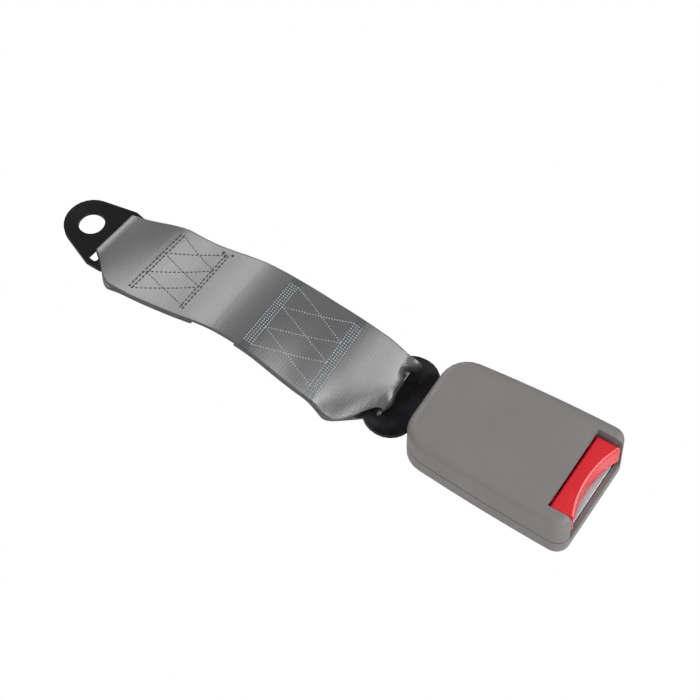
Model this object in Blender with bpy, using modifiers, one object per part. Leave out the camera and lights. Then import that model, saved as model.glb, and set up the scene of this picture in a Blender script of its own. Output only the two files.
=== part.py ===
"""Buckle half of a two-point seat belt: anchor plate, sewn webbing and end-release buckle.

Metres, +Z up. The origin is the centre of the buckle's flat underside, +X runs along the
buckle to its mouth, and the webbing leaves the buckle towards -X. The belt lies on the
plane z = 0, with its webbing in a low arch.
"""

import math

import bmesh
import bpy
import numpy as np
from mathutils import Matrix, Vector

# Clearances
GAP = 0.0003
RUNNING_GAP = 0.0005

# Anchor plate, measured from the centre of the bolt hole
ANCHOR_THICKNESS = 0.0025
BOLT_HOLE_RADIUS = 0.00625
ANCHOR_TIP_RADIUS = 0.0131
ANCHOR_TAPER = math.radians(16.3)
ANCHOR_SHOULDER = 0.0127
ANCHOR_SHOULDER_RADIUS = 0.003
ANCHOR_HOLE_TO_BAR = 0.0195
ANCHOR_BAR_WIDTH = 0.006
ANCHOR_SLOT_WIDTH = 0.0050
ANCHOR_SLOT_HALF_LENGTH = 0.0150
ANCHOR_END_NARROWING = 0.0008
ANCHOR_YAW = math.radians(-8.2)

# Webbing
WEBBING_WIDTH = 0.047
WEBBING_THICKNESS = 0.0012
WEBBING_COLUMNS = 14
BAR_TO_BAR = 0.1409
ANCHOR_SIDEWAYS = -0.0012
# Reach of the webbing to each side of its middle line where it passes each slot
ANCHOR_FAR_SIDE = 0.0122
ANCHOR_NEAR_SIDE = 0.0118
BUCKLE_FAR_SIDE = 0.0218
BUCKLE_NEAR_SIDE = 0.0055
# Length that the webbing takes to spread out again from each slot
ANCHOR_FAR_SPREAD = 0.032
ANCHOR_NEAR_SPREAD = 0.021
BUCKLE_TOP_SPREAD = 0.027
BUCKLE_TOP_NARROW = 0.009
BUCKLE_TAIL_SPREAD = 0.028
BUCKLE_TAIL_NARROW = 0.001
# Folds of the gathered webbing over the buckle's slot: share of the half width, depth, slope
BUCKLE_FOLDS = (
    (-1.00, 0.0006, 0.0),
    (-0.70, 0.0016, 0.0),
    (-0.20, 0.0000, 0.0),
    (0.10, 0.0000, 0.0),
    (0.53, -0.0028, 0.0),
    (0.90, 0.0028, 0.0),
)
FOLDS_ABOVE_SLOT = 0.0075
FOLDS_REACH = 0.0070
# Droop of the edge at -Y before the buckle's slot: share of the half width, depth, slope
BUCKLE_DROOP = (
    (-1.00, -0.0042, 0.010),
    (-0.50, -0.0009, 0.004),
    (0.00, 0.0000, 0.0),
)
DROOP_START = 0.038
DROOP_FULL = 0.024
DROOP_FADES = 0.014
DROOP_END = 0.005
ANCHOR_LOOP_HEIGHT = 0.0067
BUCKLE_CREST_DROP = 0.0012
BUCKLE_LOOP_AHEAD = 0.0008
BUCKLE_BULGE = 0.0031
BUCKLE_LOOP_CORNER = 0.0016
# Height and slope of the top layer, at shares of the way between the two slot bars
ARCH = (
    (0.00, 0.0075, 0.04),
    (0.10, 0.0081, 0.05),
    (0.13, 0.0087, 0.25),
    (0.30, 0.0168, 0.46),
    (0.45, 0.0262, 0.36),
    (0.60, 0.0286, -0.04),
    (0.75, 0.0260, -0.16),
    (0.90, 0.0224, -0.32),
    (1.00, 0.0170, -0.56),
)
# Sideways place and slope of the webbing's middle, at the same kind of shares
SWAY = (
    (0.00, 0.0004, -0.16),
    (0.30, -0.0045, -0.11),
    (0.60, -0.0069, -0.03),
    (0.90, -0.0090, 0.00),
    (1.00, -0.0084, 0.08),
)
# Roll in degrees that lifts the edge at -Y
ROLL = (
    (0.00, 0.0, 0.0),
    (0.15, 5.5, 35.0),
    (0.30, 9.5, 4.0),
    (0.60, 8.0, -18.0),
    (0.75, 1.7, -48.0),
    (0.90, -4.0, -20.0),
    (1.00, -5.0, 0.0),
)
# The roll fades out where the webbing turns down to the buckle's slot
ROLL_FADE_START = 0.75
ROLL_FADE_LENGTH = 0.15
ROLL_FADE_LOW = 0.006
ROLL_FADE_HIGH = 0.014

# Stitching: places of the stitch rows, from the anchor plate's bar
ANCHOR_ROWS = (0.0204, 0.0490)
BUCKLE_ROWS = (0.0862, 0.1212)
THREAD_WIDTH = 0.0008
THREAD_THICKNESS = 0.0004
THREAD_MARGIN = 0.0042
ANCHOR_ROW_SPACING = 0.0018
BUCKLE_ROW_SPACING = 0.0024
ANCHOR_TAIL_PAST_ROW = 0.0080
BUCKLE_TAIL_PAST_ROW = 0.0045

# Buckle housing
BUCKLE_LENGTH = 0.087
TAIL_HALF_WIDTH = 0.0247
MOUTH_FLARE = 0.0035
SIDE_BULGE = 0.0008
TAIL_HEIGHT = 0.0212
MOUTH_HEIGHT = 0.0270
TOP_CROWN = 0.0008
TAIL_CORNER = 0.0130
MOUTH_CORNER = 0.0065
TOP_FILLET = 0.0034
BOTTOM_FILLET = 0.0016
WALL = 0.0022
FLOOR_WALL = 0.0020
PARTING_HEIGHT = 0.0078
PARTING_GROOVE_HEIGHT = 0.0005
PARTING_GROOVE_DEPTH = 0.0008
WINDOW_DEPTH = 0.0125
WINDOW_HALF_WIDTH = 0.0220
CHEEK_CAVITY_HALF_WIDTH = 0.0212
LOWER_LIP_HEIGHT = 0.0061

# Steel frame of the buckle
FRAME_THICKNESS = 0.0025
FRAME_HEIGHT = 0.0033
FRAME_SIDE_CLEARANCE = 0.0002
FRAME_SHOULDER_RADIUS = 0.002
FRAME_FRONT_RADIUS = 0.001
FRAME_SLOT_RADIUS = 0.002
FLANGE_RADIUS = 0.002
HOOK_WINDOW_RADIUS = 0.001
TAIL_PLATE_HALF_WIDTH = 0.0217
TAIL_PLATE_LOBE = 0.0122
TAIL_PLATE_REACH = 0.0255
TAIL_BAR_WIDTH = 0.0056
TAIL_SLOT_WIDTH = 0.0042
TAIL_SLOT_HALF_LENGTH = 0.0150
NECK_HALF_WIDTH = 0.0140
FLANGE_REAR_FROM_TAIL = 0.0125
FLANGE_FRONT_FROM_MOUTH = 0.0195
FLANGE_REAR_HEIGHT = 0.0178
FLANGE_MID_HEIGHT = 0.0220
FLANGE_FRONT_HEIGHT = 0.0224
FRAME_FRONT_FROM_MOUTH = 0.0075

# Plastic guide under the tongue slot, in front of the frame
GUIDE_LENGTH = 0.0046
GUIDE_TOP = 0.0060
GUIDE_HALF_WIDTH = 0.0195

# Latch and its pin
PIN_RADIUS = 0.0015
PIN_FROM_TAIL = 0.0175
PIN_HEIGHT = 0.0145
PIN_PROTRUSION = 0.0008
HOOK_TO_BRIDGE = 0.0030
LATCH_HALF_WIDTH = 0.0087
LATCH_THICKNESS = 0.0025
LATCH_BARREL = 0.0029
HOOK_LENGTH = 0.0045
HOOK_DEPTH = 0.0045
LATCH_RAISED = math.radians(2.5)
HOOK_WINDOW_CLEARANCE = 0.0010

# Lock bar
LOCK_BAR_LENGTH_X = 0.0040
LOCK_BAR_THICKNESS = 0.0026
LOCK_BAR_HEIGHT = 0.0192
LOCK_BAR_FROM_MOUTH = 0.0315

# Release button
BUTTON_TRAVEL = 0.006
BUTTON_HALF_WIDTH = 0.0205
BUTTON_BOTTOM = 0.0114
BUTTON_BELOW_TOP = 0.0030
BUTTON_HOLLOW = 0.0045
BUTTON_EDGE = 0.0010
BUTTON_ARM_WIDTH = 0.0022
BUTTON_ARM_CLEARANCE = 0.0022
BUTTON_ARM_THICKNESS = 0.0030

# Bridge between the flanges that backs the button's springs
BRIDGE_FROM_MOUTH = 0.0254
BRIDGE_THICKNESS = 0.0022
BRIDGE_BOTTOM = 0.0120
BRIDGE_TOP = 0.0162

# Ejector and its travel
EJECTOR_TRAVEL = 0.012
EJECTOR_HALF_WIDTH = 0.0140
EJECTOR_ARM_INNER = 0.0095
EJECTOR_HEIGHT = 0.0035
EJECTOR_ARM_LENGTH = 0.0240
EJECTOR_BRIDGE = 0.0100
EJECTOR_REAR_FROM_TAIL = 0.0275
SPRING_TAB_FROM_TAIL = 0.0070
SPRING_TAB_THICKNESS = 0.0020
SPRING_TAB_HALF_WIDTH = 0.0040
SPRING_TAB_HEIGHT = 0.0050

# Springs
BUTTON_SPRING_RADIUS = 0.0022
BUTTON_SPRING_WIRE = 0.0005
BUTTON_SPRING_TURNS = 5
BUTTON_SPRING_SIDEWAYS = 0.0090
EJECTOR_SPRING_RADIUS = 0.0018
EJECTOR_SPRING_WIRE = 0.0004
EJECTOR_SPRING_TURNS = 7
COIL_STEPS = 10

# Screws that hold the two covers together
SCREW_HEAD_RADIUS = 0.0020
SCREW_HEAD_HEIGHT = 0.0014
SCREW_SHANK_RADIUS = 0.0012
SCREW_LENGTH = 0.0120
SCREW_RECESS = 0.0006
SCREW_TAIL_FROM_TAIL = 0.0066
SCREW_TAIL_SIDEWAYS = 0.0165
SCREW_MOUTH_FROM_MOUTH = 0.0075
SCREW_MOUTH_SIDEWAYS = 0.0246
BOSS_RADIUS = 0.0024

# Places worked out from the sizes above
TAIL_X = -BUCKLE_LENGTH / 2
MOUTH_X = BUCKLE_LENGTH / 2
MOUTH_HALF_WIDTH = TAIL_HALF_WIDTH + MOUTH_FLARE
FRAME_HALF_WIDTH = TAIL_HALF_WIDTH - WALL - PIN_PROTRUSION - FRAME_SIDE_CLEARANCE
BUTTON_ARM_OUTER = FRAME_HALF_WIDTH - FRAME_THICKNESS - BUTTON_ARM_CLEARANCE
BUTTON_ARM_INNER = BUTTON_ARM_OUTER - BUTTON_ARM_WIDTH
FRAME_TOP = FRAME_HEIGHT + FRAME_THICKNESS
TAIL_END_X = TAIL_X - TAIL_PLATE_REACH
BAR_X = TAIL_END_X + TAIL_BAR_WIDTH / 2
BAR_Z = FRAME_HEIGHT + FRAME_THICKNESS / 2
SLOT_FAR_X = TAIL_END_X + TAIL_BAR_WIDTH + TAIL_SLOT_WIDTH
ANCHOR_X = BAR_X - BAR_TO_BAR
ANCHOR_Z = WEBBING_THICKNESS / 2 + ANCHOR_LOOP_HEIGHT / 2
FLANGE_REAR_X = TAIL_X + FLANGE_REAR_FROM_TAIL
FLANGE_FRONT_X = MOUTH_X - FLANGE_FRONT_FROM_MOUTH
PIN_X = TAIL_X + PIN_FROM_TAIL
LOCK_BAR_X = MOUTH_X - LOCK_BAR_FROM_MOUTH
WINDOW_X = MOUTH_X - WINDOW_DEPTH
BUTTON_REAR_X = WINDOW_X + GAP
BRIDGE_X = MOUTH_X - BRIDGE_FROM_MOUTH
LATCH_LENGTH = BRIDGE_X - BRIDGE_THICKNESS / 2 - HOOK_TO_BRIDGE - PIN_X
EJECTOR_REAR_X = TAIL_X + EJECTOR_REAR_FROM_TAIL
FRAME_FRONT_X = MOUTH_X - FRAME_FRONT_FROM_MOUTH
SPRING_TAB_X = TAIL_X + SPRING_TAB_FROM_TAIL
THROUGH = 0.02


def clear_scene():
    for obj in list(bpy.data.objects):
        bpy.data.objects.remove(obj)


def new_collection(name):
    collection = bpy.data.collections.new(name)
    bpy.context.scene.collection.children.link(collection)
    return collection


clear_scene()
PARTS = new_collection("two_point_seat_belt")
CUTTERS = new_collection("cutters")


def material(name, colour, roughness, metallic=0.0):
    made = bpy.data.materials.new(name)
    made.use_nodes = True
    shader = made.node_tree.nodes["Principled BSDF"]
    shader.inputs["Base Color"].default_value = (*colour, 1.0)
    shader.inputs["Roughness"].default_value = roughness
    shader.inputs["Metallic"].default_value = metallic
    return made


def linear(red, green, blue):
    """A colour as seen on screen, 0 to 255, as the shader wants it."""
    return tuple((part / 255) ** 2.2 for part in (red, green, blue))


MATERIALS = {
    "anchor_plate": material("black_painted_steel", linear(30, 30, 32), 0.45, 0.0),
    "webbing_strap": material("grey_webbing", linear(150, 148, 146), 0.6),
    "anchor_stitching": material("teal_thread", linear(48, 66, 70), 0.7),
    "buckle_stitching": material("pale_thread", linear(150, 168, 170), 0.7),
    "buckle_frame": material("black_frame_steel", linear(28, 28, 30), 0.4, 0.0),
    "upper_cover": material("grey_upper_plastic", linear(140, 136, 134), 0.5),
    "lower_cover": material("grey_lower_plastic", linear(140, 137, 135), 0.5),
    "tongue_guide": material("pale_guide_plastic", linear(205, 208, 212), 0.45),
    "release_button": material("red_plastic", linear(205, 35, 42), 0.35),
    "button_spring_left": material("spring_wire_left", (0.6, 0.6, 0.62), 0.3, 1.0),
    "button_spring_right": material("spring_wire_right", (0.6, 0.6, 0.62), 0.3, 1.0),
    "frame_bridge": material("bridge_steel", (0.5, 0.5, 0.5), 0.4, 1.0),
    "latch": material("latch_steel", (0.45, 0.45, 0.47), 0.35, 1.0),
    "latch_pin": material("pin_steel", (0.6, 0.6, 0.6), 0.3, 1.0),
    "lock_bar": material("lock_bar_steel", (0.55, 0.55, 0.57), 0.35, 1.0),
    "ejector": material("black_ejector_plastic", linear(38, 38, 40), 0.5),
    "ejector_spring": material("ejector_spring_wire", (0.6, 0.6, 0.62), 0.3, 1.0),
    "cover_screw": material("zinc_screw", (0.6, 0.6, 0.58), 0.35, 1.0),
}


def finish_part(obj, finish=None, smooth_angle=30):
    """Puts a made piece in the part's collection, with its material and shading."""
    for collection in list(obj.users_collection):
        collection.objects.unlink(obj)
    PARTS.objects.link(obj)
    obj.data.materials.clear()
    obj.data.materials.append(MATERIALS[finish or obj.name])
    if obj.type == "MESH":
        obj.data.shade_smooth()
        obj.data.set_sharp_from_angle(angle=math.radians(smooth_angle))
    return obj


def finish_cutter(obj):
    for collection in list(obj.users_collection):
        collection.objects.unlink(obj)
    CUTTERS.objects.link(obj)
    obj.hide_render = True
    obj.display_type = "WIRE"
    return obj


def corner_arc(before, corner, after, radius, steps):
    """Points of the arc that rounds one corner of an outline."""
    to_before = (before - corner).normalized()
    to_after = (after - corner).normalized()
    half = to_before.angle(to_after) / 2
    reach = radius / math.tan(half)
    centre = corner + (to_before + to_after).normalized() * (radius / math.sin(half))
    start = corner + to_before * reach - centre
    end = corner + to_after * reach - centre
    sweep = start.angle_signed(end)
    turned = [Matrix.Rotation(-sweep * i / steps, 2) @ start for i in range(steps + 1)]
    return [centre + point for point in turned]


def rounded_outline(corners, steps=4):
    """An outline from (x, y, corner radius) rows, going round once."""
    points = []
    count = len(corners)
    for i, (x, y, radius) in enumerate(corners):
        corner = Vector((x, y))
        if radius == 0:
            points.append(corner)
            continue
        before = Vector(corners[i - 1][:2])
        after = Vector(corners[(i + 1) % count][:2])
        points += corner_arc(before, corner, after, radius, steps)
    return points


def rectangle(x0, x1, y0, y1, radius=0.0):
    return rounded_outline([(x0, y0, radius), (x1, y0, radius), (x1, y1, radius), (x0, y1, radius)])


def circle(x, y, radius, steps=24):
    turns = [2 * math.pi * i / steps for i in range(steps)]
    return [Vector((x + radius * math.cos(a), y + radius * math.sin(a))) for a in turns]


FLAT = Matrix.Identity(4)
# A side profile: its own x and y become X and Z, and its thickness runs along Y.
UPRIGHT = Matrix.Rotation(math.pi / 2, 4, "X")


def plate(name, outlines, thickness, placed=FLAT):
    """A flat outline with holes, as thick as given, made a closed mesh. It is centred on its plane."""
    curve = bpy.data.curves.new(name, "CURVE")
    curve.dimensions = "2D"
    curve.fill_mode = "BOTH"
    curve.extrude = thickness / 2
    for outline in outlines:
        spline = curve.splines.new("POLY")
        spline.points.add(len(outline) - 1)
        for point, (x, y) in zip(spline.points, outline):
            point.co = (x, y, 0, 1)
        spline.use_cyclic_u = True
    outline_object = bpy.data.objects.new(name, curve)
    bpy.context.scene.collection.objects.link(outline_object)
    outline_object.matrix_world = placed
    bpy.context.view_layer.update()
    return curve_to_mesh(outline_object)


def curve_to_mesh(curve_object):
    """A closed mesh object in a curve object's place."""
    name = curve_object.name
    graph = bpy.context.evaluated_depsgraph_get()
    mesh = bpy.data.meshes.new_from_object(curve_object.evaluated_get(graph))
    welded = bmesh.new()
    welded.from_mesh(mesh)
    bmesh.ops.remove_doubles(welded, verts=welded.verts, dist=0.00001)
    bmesh.ops.recalc_face_normals(welded, faces=welded.faces)
    welded.transform(curve_object.matrix_world)
    welded.to_mesh(mesh)
    welded.free()
    made = bpy.data.objects.new(name, mesh)
    bpy.data.objects.remove(curve_object)
    made.name = name
    bpy.context.scene.collection.objects.link(made)
    bpy.context.view_layer.update()
    return made


def slab(name, outlines, bottom, top):
    """A flat outline between two heights."""
    return plate(name, outlines, top - bottom, Matrix.Translation((0, 0, (bottom + top) / 2)))


def upright_slab(name, outlines, half_width, middle=0.0):
    """A side profile, given in X and Z, of a width along Y."""
    return plate(name, outlines, half_width * 2, Matrix.Translation((0, middle, 0)) @ UPRIGHT)


def box(name, low, high):
    bm = bmesh.new()
    bmesh.ops.create_cube(bm, size=1)
    size = Vector(high) - Vector(low)
    middle = (Vector(high) + Vector(low)) / 2
    bmesh.ops.transform(bm, matrix=Matrix.Translation(middle) @ Matrix.Diagonal((*size, 1)), verts=bm.verts)
    return mesh_object(name, bm)


def cylinder(name, radius, start, end, steps=24):
    """A round bar between two points."""
    start, end = Vector(start), Vector(end)
    along = end - start
    bm = bmesh.new()
    bmesh.ops.create_cone(
        bm, cap_ends=True, segments=steps, radius1=radius, radius2=radius, depth=along.length
    )
    turn = along.to_track_quat("Z", "Y").to_matrix().to_4x4()
    bmesh.ops.transform(bm, matrix=Matrix.Translation((start + end) / 2) @ turn, verts=bm.verts)
    return mesh_object(name, bm)


def mesh_object(name, bm):
    mesh = bpy.data.meshes.new(name)
    bm.to_mesh(mesh)
    bm.free()
    made = bpy.data.objects.new(name, mesh)
    bpy.context.scene.collection.objects.link(made)
    return made


def combine(obj, other, operation):
    """Adds another shape to an object, or cuts it, with a Boolean."""
    finish_cutter(other)
    modifier = obj.modifiers.new(other.name, "BOOLEAN")
    modifier.operation = operation
    modifier.solver = "EXACT"
    modifier.object = other
    return obj


def cut(obj, cutter):
    return combine(obj, cutter, "DIFFERENCE")


def add(obj, piece):
    return combine(obj, piece, "UNION")


def bevel(obj, width, segments=2, angle=50):
    modifier = obj.modifiers.new("rounded_edges", "BEVEL")
    modifier.width = width
    modifier.segments = segments
    modifier.limit_method = "ANGLE"
    modifier.angle_limit = math.radians(angle)
    modifier.use_clamp_overlap = True
    return obj


def hang_on(obj, pivot):
    """Parents a piece to an empty on its joint's axis, leaving it where it is."""
    bpy.context.view_layer.update()
    obj.parent = pivot
    obj.matrix_parent_inverse = pivot.matrix_world.inverted()


def pivot_at(name, place, parent=None):
    pivot = bpy.data.objects.new(name, None)
    pivot.empty_display_size = 0.01
    pivot.location = place
    PARTS.objects.link(pivot)
    if parent is not None:
        hang_on(pivot, parent)
    bpy.context.view_layer.update()
    return pivot


def smooth_step(value):
    value = min(max(value, 0.0), 1.0)
    return value * value * (3 - 2 * value)


def curve_through(knots, at):
    """Value at a place, from (place, value, slope) knots, straight outside them."""
    first, last = knots[0], knots[-1]
    if at <= first[0]:
        return first[1] + first[2] * (at - first[0])
    if at >= last[0]:
        return last[1] + last[2] * (at - last[0])
    for (x0, y0, m0), (x1, y1, m1) in zip(knots, knots[1:]):
        if at <= x1:
            break
    span = x1 - x0
    t = (at - x0) / span
    start = (1 + 2 * t) * (1 - t) ** 2 * y0 + t * (1 - t) ** 2 * span * m0
    return start + t * t * (3 - 2 * t) * y1 - t * t * (1 - t) * span * m1


def spread_knots(knots):
    """Knots given at shares of the way between the bars, as world X and slopes."""
    return [(ANCHOR_X + share * BAR_TO_BAR, value, slope) for share, value, slope in knots]


ARCH_KNOTS = spread_knots(ARCH)
SWAY_KNOTS = spread_knots(SWAY)
ROLL_KNOTS = [(ANCHOR_X + s * BAR_TO_BAR, v, m / BAR_TO_BAR) for s, v, m in ROLL]
LAYER_STEP = WEBBING_THICKNESS + GAP


def top_point(x):
    return (x, curve_through(ARCH_KNOTS, x))


def under_top(x):
    """A point of the lower layer, one webbing and a gap under the top layer."""
    ahead = 0.0005
    slope = (curve_through(ARCH_KNOTS, x + ahead) - curve_through(ARCH_KNOTS, x - ahead)) / (2 * ahead)
    lean = math.atan(slope)
    return (x + LAYER_STEP * math.sin(lean), curve_through(ARCH_KNOTS, x) - LAYER_STEP * math.cos(lean))


def spaced(start, end, step):
    count = max(2, round(abs(end - start) / step) + 1)
    return np.linspace(start, end, count)


def strap_profile():
    """The webbing's middle line in X and Z, from the tail at the anchor to the tail at the buckle."""
    floor = WEBBING_THICKNESS / 2
    loop = ANCHOR_LOOP_HEIGHT / 2
    turn_x = ANCHOR_X - ANCHOR_BAR_WIDTH / 2 - ANCHOR_SLOT_WIDTH + GAP * 2 + floor + loop
    tail_start = ANCHOR_X + ANCHOR_ROWS[1] + ANCHOR_TAIL_PAST_ROW
    join = ANCHOR_X + ANCHOR_ROWS[0] - 0.003
    points = [under_top(x) for x in spaced(tail_start, join, 0.009)]
    points += [
        (ANCHOR_X + 0.0105, floor + 0.0033),
        (ANCHOR_X + 0.0045, floor + 0.0005),
        (ANCHOR_X, floor),
    ]
    for angle in (270, 225, 180, 135, 90):
        turn = math.radians(angle)
        points.append((turn_x + loop * math.cos(turn), ANCHOR_Z + loop * math.sin(turn)))
    last_top = BAR_X - 0.004
    points += [top_point(x) for x in spaced(ANCHOR_X, last_top, 0.0095)]
    front_x = (TAIL_END_X + TAIL_BAR_WIDTH + SLOT_FAR_X) / 2 + BUCKLE_LOOP_AHEAD
    crest = curve_through(ARCH_KNOTS, BAR_X) - BUCKLE_CREST_DROP
    drop = crest - BAR_Z
    corner = BUCKLE_LOOP_CORNER
    points += [
        (front_x + BUCKLE_BULGE - 0.0046, crest),
        (front_x + BUCKLE_BULGE - 0.0010, crest - drop * 0.20),
        (front_x + BUCKLE_BULGE, crest - drop * 0.40),
        (front_x + BUCKLE_BULGE * 0.4, crest - drop * 0.60),
        (front_x, crest - drop * 0.78),
        (front_x, BAR_Z - 0.0010),
        (front_x - corner * 0.3, floor + corner),
        (front_x - corner * 1.3, floor + corner * 0.1),
        (front_x - corner * 3, floor),
        (BAR_X - 0.0035, floor + 0.0008),
        (BAR_X - 0.0078, floor + 0.0058),
        (BAR_X - 0.0128, floor + 0.0142),
    ]
    join = ANCHOR_X + BUCKLE_ROWS[1] + 0.001
    tail_end = ANCHOR_X + BUCKLE_ROWS[0] - BUCKLE_TAIL_PAST_ROW
    points += [under_top(x) for x in spaced(join, tail_end, 0.009)]
    return np.array(points)


def rounded_path(points, per_span=3):
    """A smooth line through the points, with the same number of steps between each two."""
    ends = np.vstack([2 * points[0] - points[1], points, 2 * points[-1] - points[-2]])
    line = []
    for a, b, c, d in zip(ends, ends[1:], ends[2:], ends[3:]):
        for i in range(per_span):
            t = i / per_span
            line.append(
                0.5 * (2 * b + (c - a) * t + (2 * a - 5 * b + 4 * c - d) * t**2 + (3 * b - a - 3 * c + d) * t**3)
            )
    line.append(points[-1])
    return np.array(line)


class Strap:
    """The webbing's surface, as a map from its length, width and thickness to the world."""

    def __init__(self):
        self.line = rounded_path(strap_profile())
        steps = np.linalg.norm(np.diff(self.line, axis=0), axis=1)
        self.along = np.concatenate([[0], np.cumsum(steps)])
        self.length = self.along[-1]
        tangent = np.gradient(self.line, self.along, axis=0)
        tangent /= np.linalg.norm(tangent, axis=1)[:, None]
        self.normal = np.stack([-tangent[:, 1], tangent[:, 0]], axis=1)
        self.anchor_slot = self.along[np.argmin(self.line[:, 0])]
        near_buckle = self.line[:, 0] > BAR_X
        crossing = np.abs(self.line[:, 1] - BAR_Z) + np.where(near_buckle, 0, 1)
        self.buckle_slot = self.along[np.argmin(crossing)]
        # The top layer starts past the anchor's slot, so its lengths are read from there.
        self.top_start = int(np.argmin(self.line[:, 0]))
        self.top_end = int(np.argmax(self.line[:, 0]))

    def length_at(self, x):
        """Length along the webbing at which the top layer passes an X."""
        top = slice(self.top_start, self.top_end + 1)
        return float(np.interp(x, self.line[top, 0], self.along[top]))

    def spread(self, distance, narrow, reach):
        """How far the webbing has spread out at a distance from a slot, 0 to 1."""
        return smooth_step((abs(distance) - narrow) / (reach - narrow))

    def sides(self, at):
        """How far the webbing reaches to +Y and to -Y of its middle line at a length."""
        full = WEBBING_WIDTH / 2
        past = at - self.anchor_slot
        far_at_anchor = self.spread(past, 0.0, ANCHOR_FAR_SPREAD)
        near_at_anchor = self.spread(past, 0.0, ANCHOR_NEAR_SPREAD)
        past = at - self.buckle_slot
        on_top = past < 0
        narrow = BUCKLE_TOP_NARROW if on_top else BUCKLE_TAIL_NARROW
        at_buckle = self.spread(past, narrow, BUCKLE_TOP_SPREAD if on_top else BUCKLE_TAIL_SPREAD)
        far = full - (full - ANCHOR_FAR_SIDE) * (1 - far_at_anchor)
        near = full - (full - ANCHOR_NEAR_SIDE) * (1 - near_at_anchor)
        far -= (full - BUCKLE_FAR_SIDE) * (1 - at_buckle)
        near -= (full - BUCKLE_NEAR_SIDE) * (1 - at_buckle)
        return far, near

    def roll_at(self, x, z):
        if not ANCHOR_X < x:
            return 0.0
        share = (x - ANCHOR_X) / BAR_TO_BAR
        low = 1 - smooth_step((z - ROLL_FADE_LOW) / (ROLL_FADE_HIGH - ROLL_FADE_LOW))
        faded = low * smooth_step((share - ROLL_FADE_START) / ROLL_FADE_LENGTH)
        held = curve_through(ROLL_KNOTS, min(x, ROLL_KNOTS[-1][0]))
        return math.radians(held) * (1 - faded)

    def point(self, at, share, out):
        """World place at a length, a share of the half width and a height over the mid-surface."""
        x, z = (np.interp(at, self.along, self.line[:, k]) for k in (0, 1))
        nx, nz = (np.interp(at, self.along, self.normal[:, k]) for k in (0, 1))
        far, near = self.sides(at)
        across = share * (far + near) / 2 + (far - near) / 2
        from_folds = (at - self.buckle_slot + FOLDS_ABOVE_SLOT) / FOLDS_REACH
        out = out + curve_through(BUCKLE_FOLDS, share) * (1 - smooth_step(abs(from_folds)))
        before = self.buckle_slot - at
        starts = smooth_step((DROOP_START - before) / (DROOP_START - DROOP_FULL))
        ends = smooth_step((before - DROOP_END) / (DROOP_FADES - DROOP_END))
        out = out + curve_through(BUCKLE_DROOP, share) * starts * ends
        roll = self.roll_at(x, z)
        centre_z = curve_through(ARCH_KNOTS, x)
        rise = z + nz * out - centre_z
        side = across * math.cos(roll) + rise * math.sin(roll)
        height = centre_z + rise * math.cos(roll) - across * math.sin(roll)
        heading = ANCHOR_YAW * (1 - smooth_step((x - ANCHOR_X) / (BAR_TO_BAR / 3)))
        ahead = nx * out
        return Vector(
            (
                x + ahead * math.cos(heading) - side * math.sin(heading),
                curve_through(SWAY_KNOTS, x) + ahead * math.sin(heading) + side * math.cos(heading),
                height,
            )
        )


def make_webbing(strap):
    """An open strip along the webbing's length, thickened to its cloth."""
    columns = WEBBING_COLUMNS
    bm = bmesh.new()
    rows = []
    for at in strap.along:
        shares = [2 * i / columns - 1 for i in range(columns + 1)]
        rows.append([bm.verts.new(strap.point(at, share, 0.0)) for share in shares])
    for row, following in zip(rows, rows[1:]):
        for i in range(columns):
            bm.faces.new((row[i], row[i + 1], following[i + 1], following[i]))
    webbing = mesh_object("webbing_strap", bm)
    thick = webbing.modifiers.new("cloth_thickness", "SOLIDIFY")
    thick.thickness = WEBBING_THICKNESS
    thick.offset = 0.0
    return finish_part(webbing, smooth_angle=60)


def zigzag_lines(row_a, row_b, half):
    """The two crossing zigzags between stitch rows, as pairs of end points."""
    first = [(row_a, half), (row_b, 0.4 * half), (row_a, -0.4 * half), (row_b, -0.9 * half)]
    second = [(row_a, -half), (row_b, -0.2 * half), (row_a, 0.3 * half), (row_b, half)]
    return list(zip(first, first[1:])) + list(zip(second, second[1:]))


def row_lines(middle, spacing, count, half):
    places = [middle + spacing * (i - (count - 1) / 2) for i in range(count)]
    return [((place, -half), (place, half)) for place in places]


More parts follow.
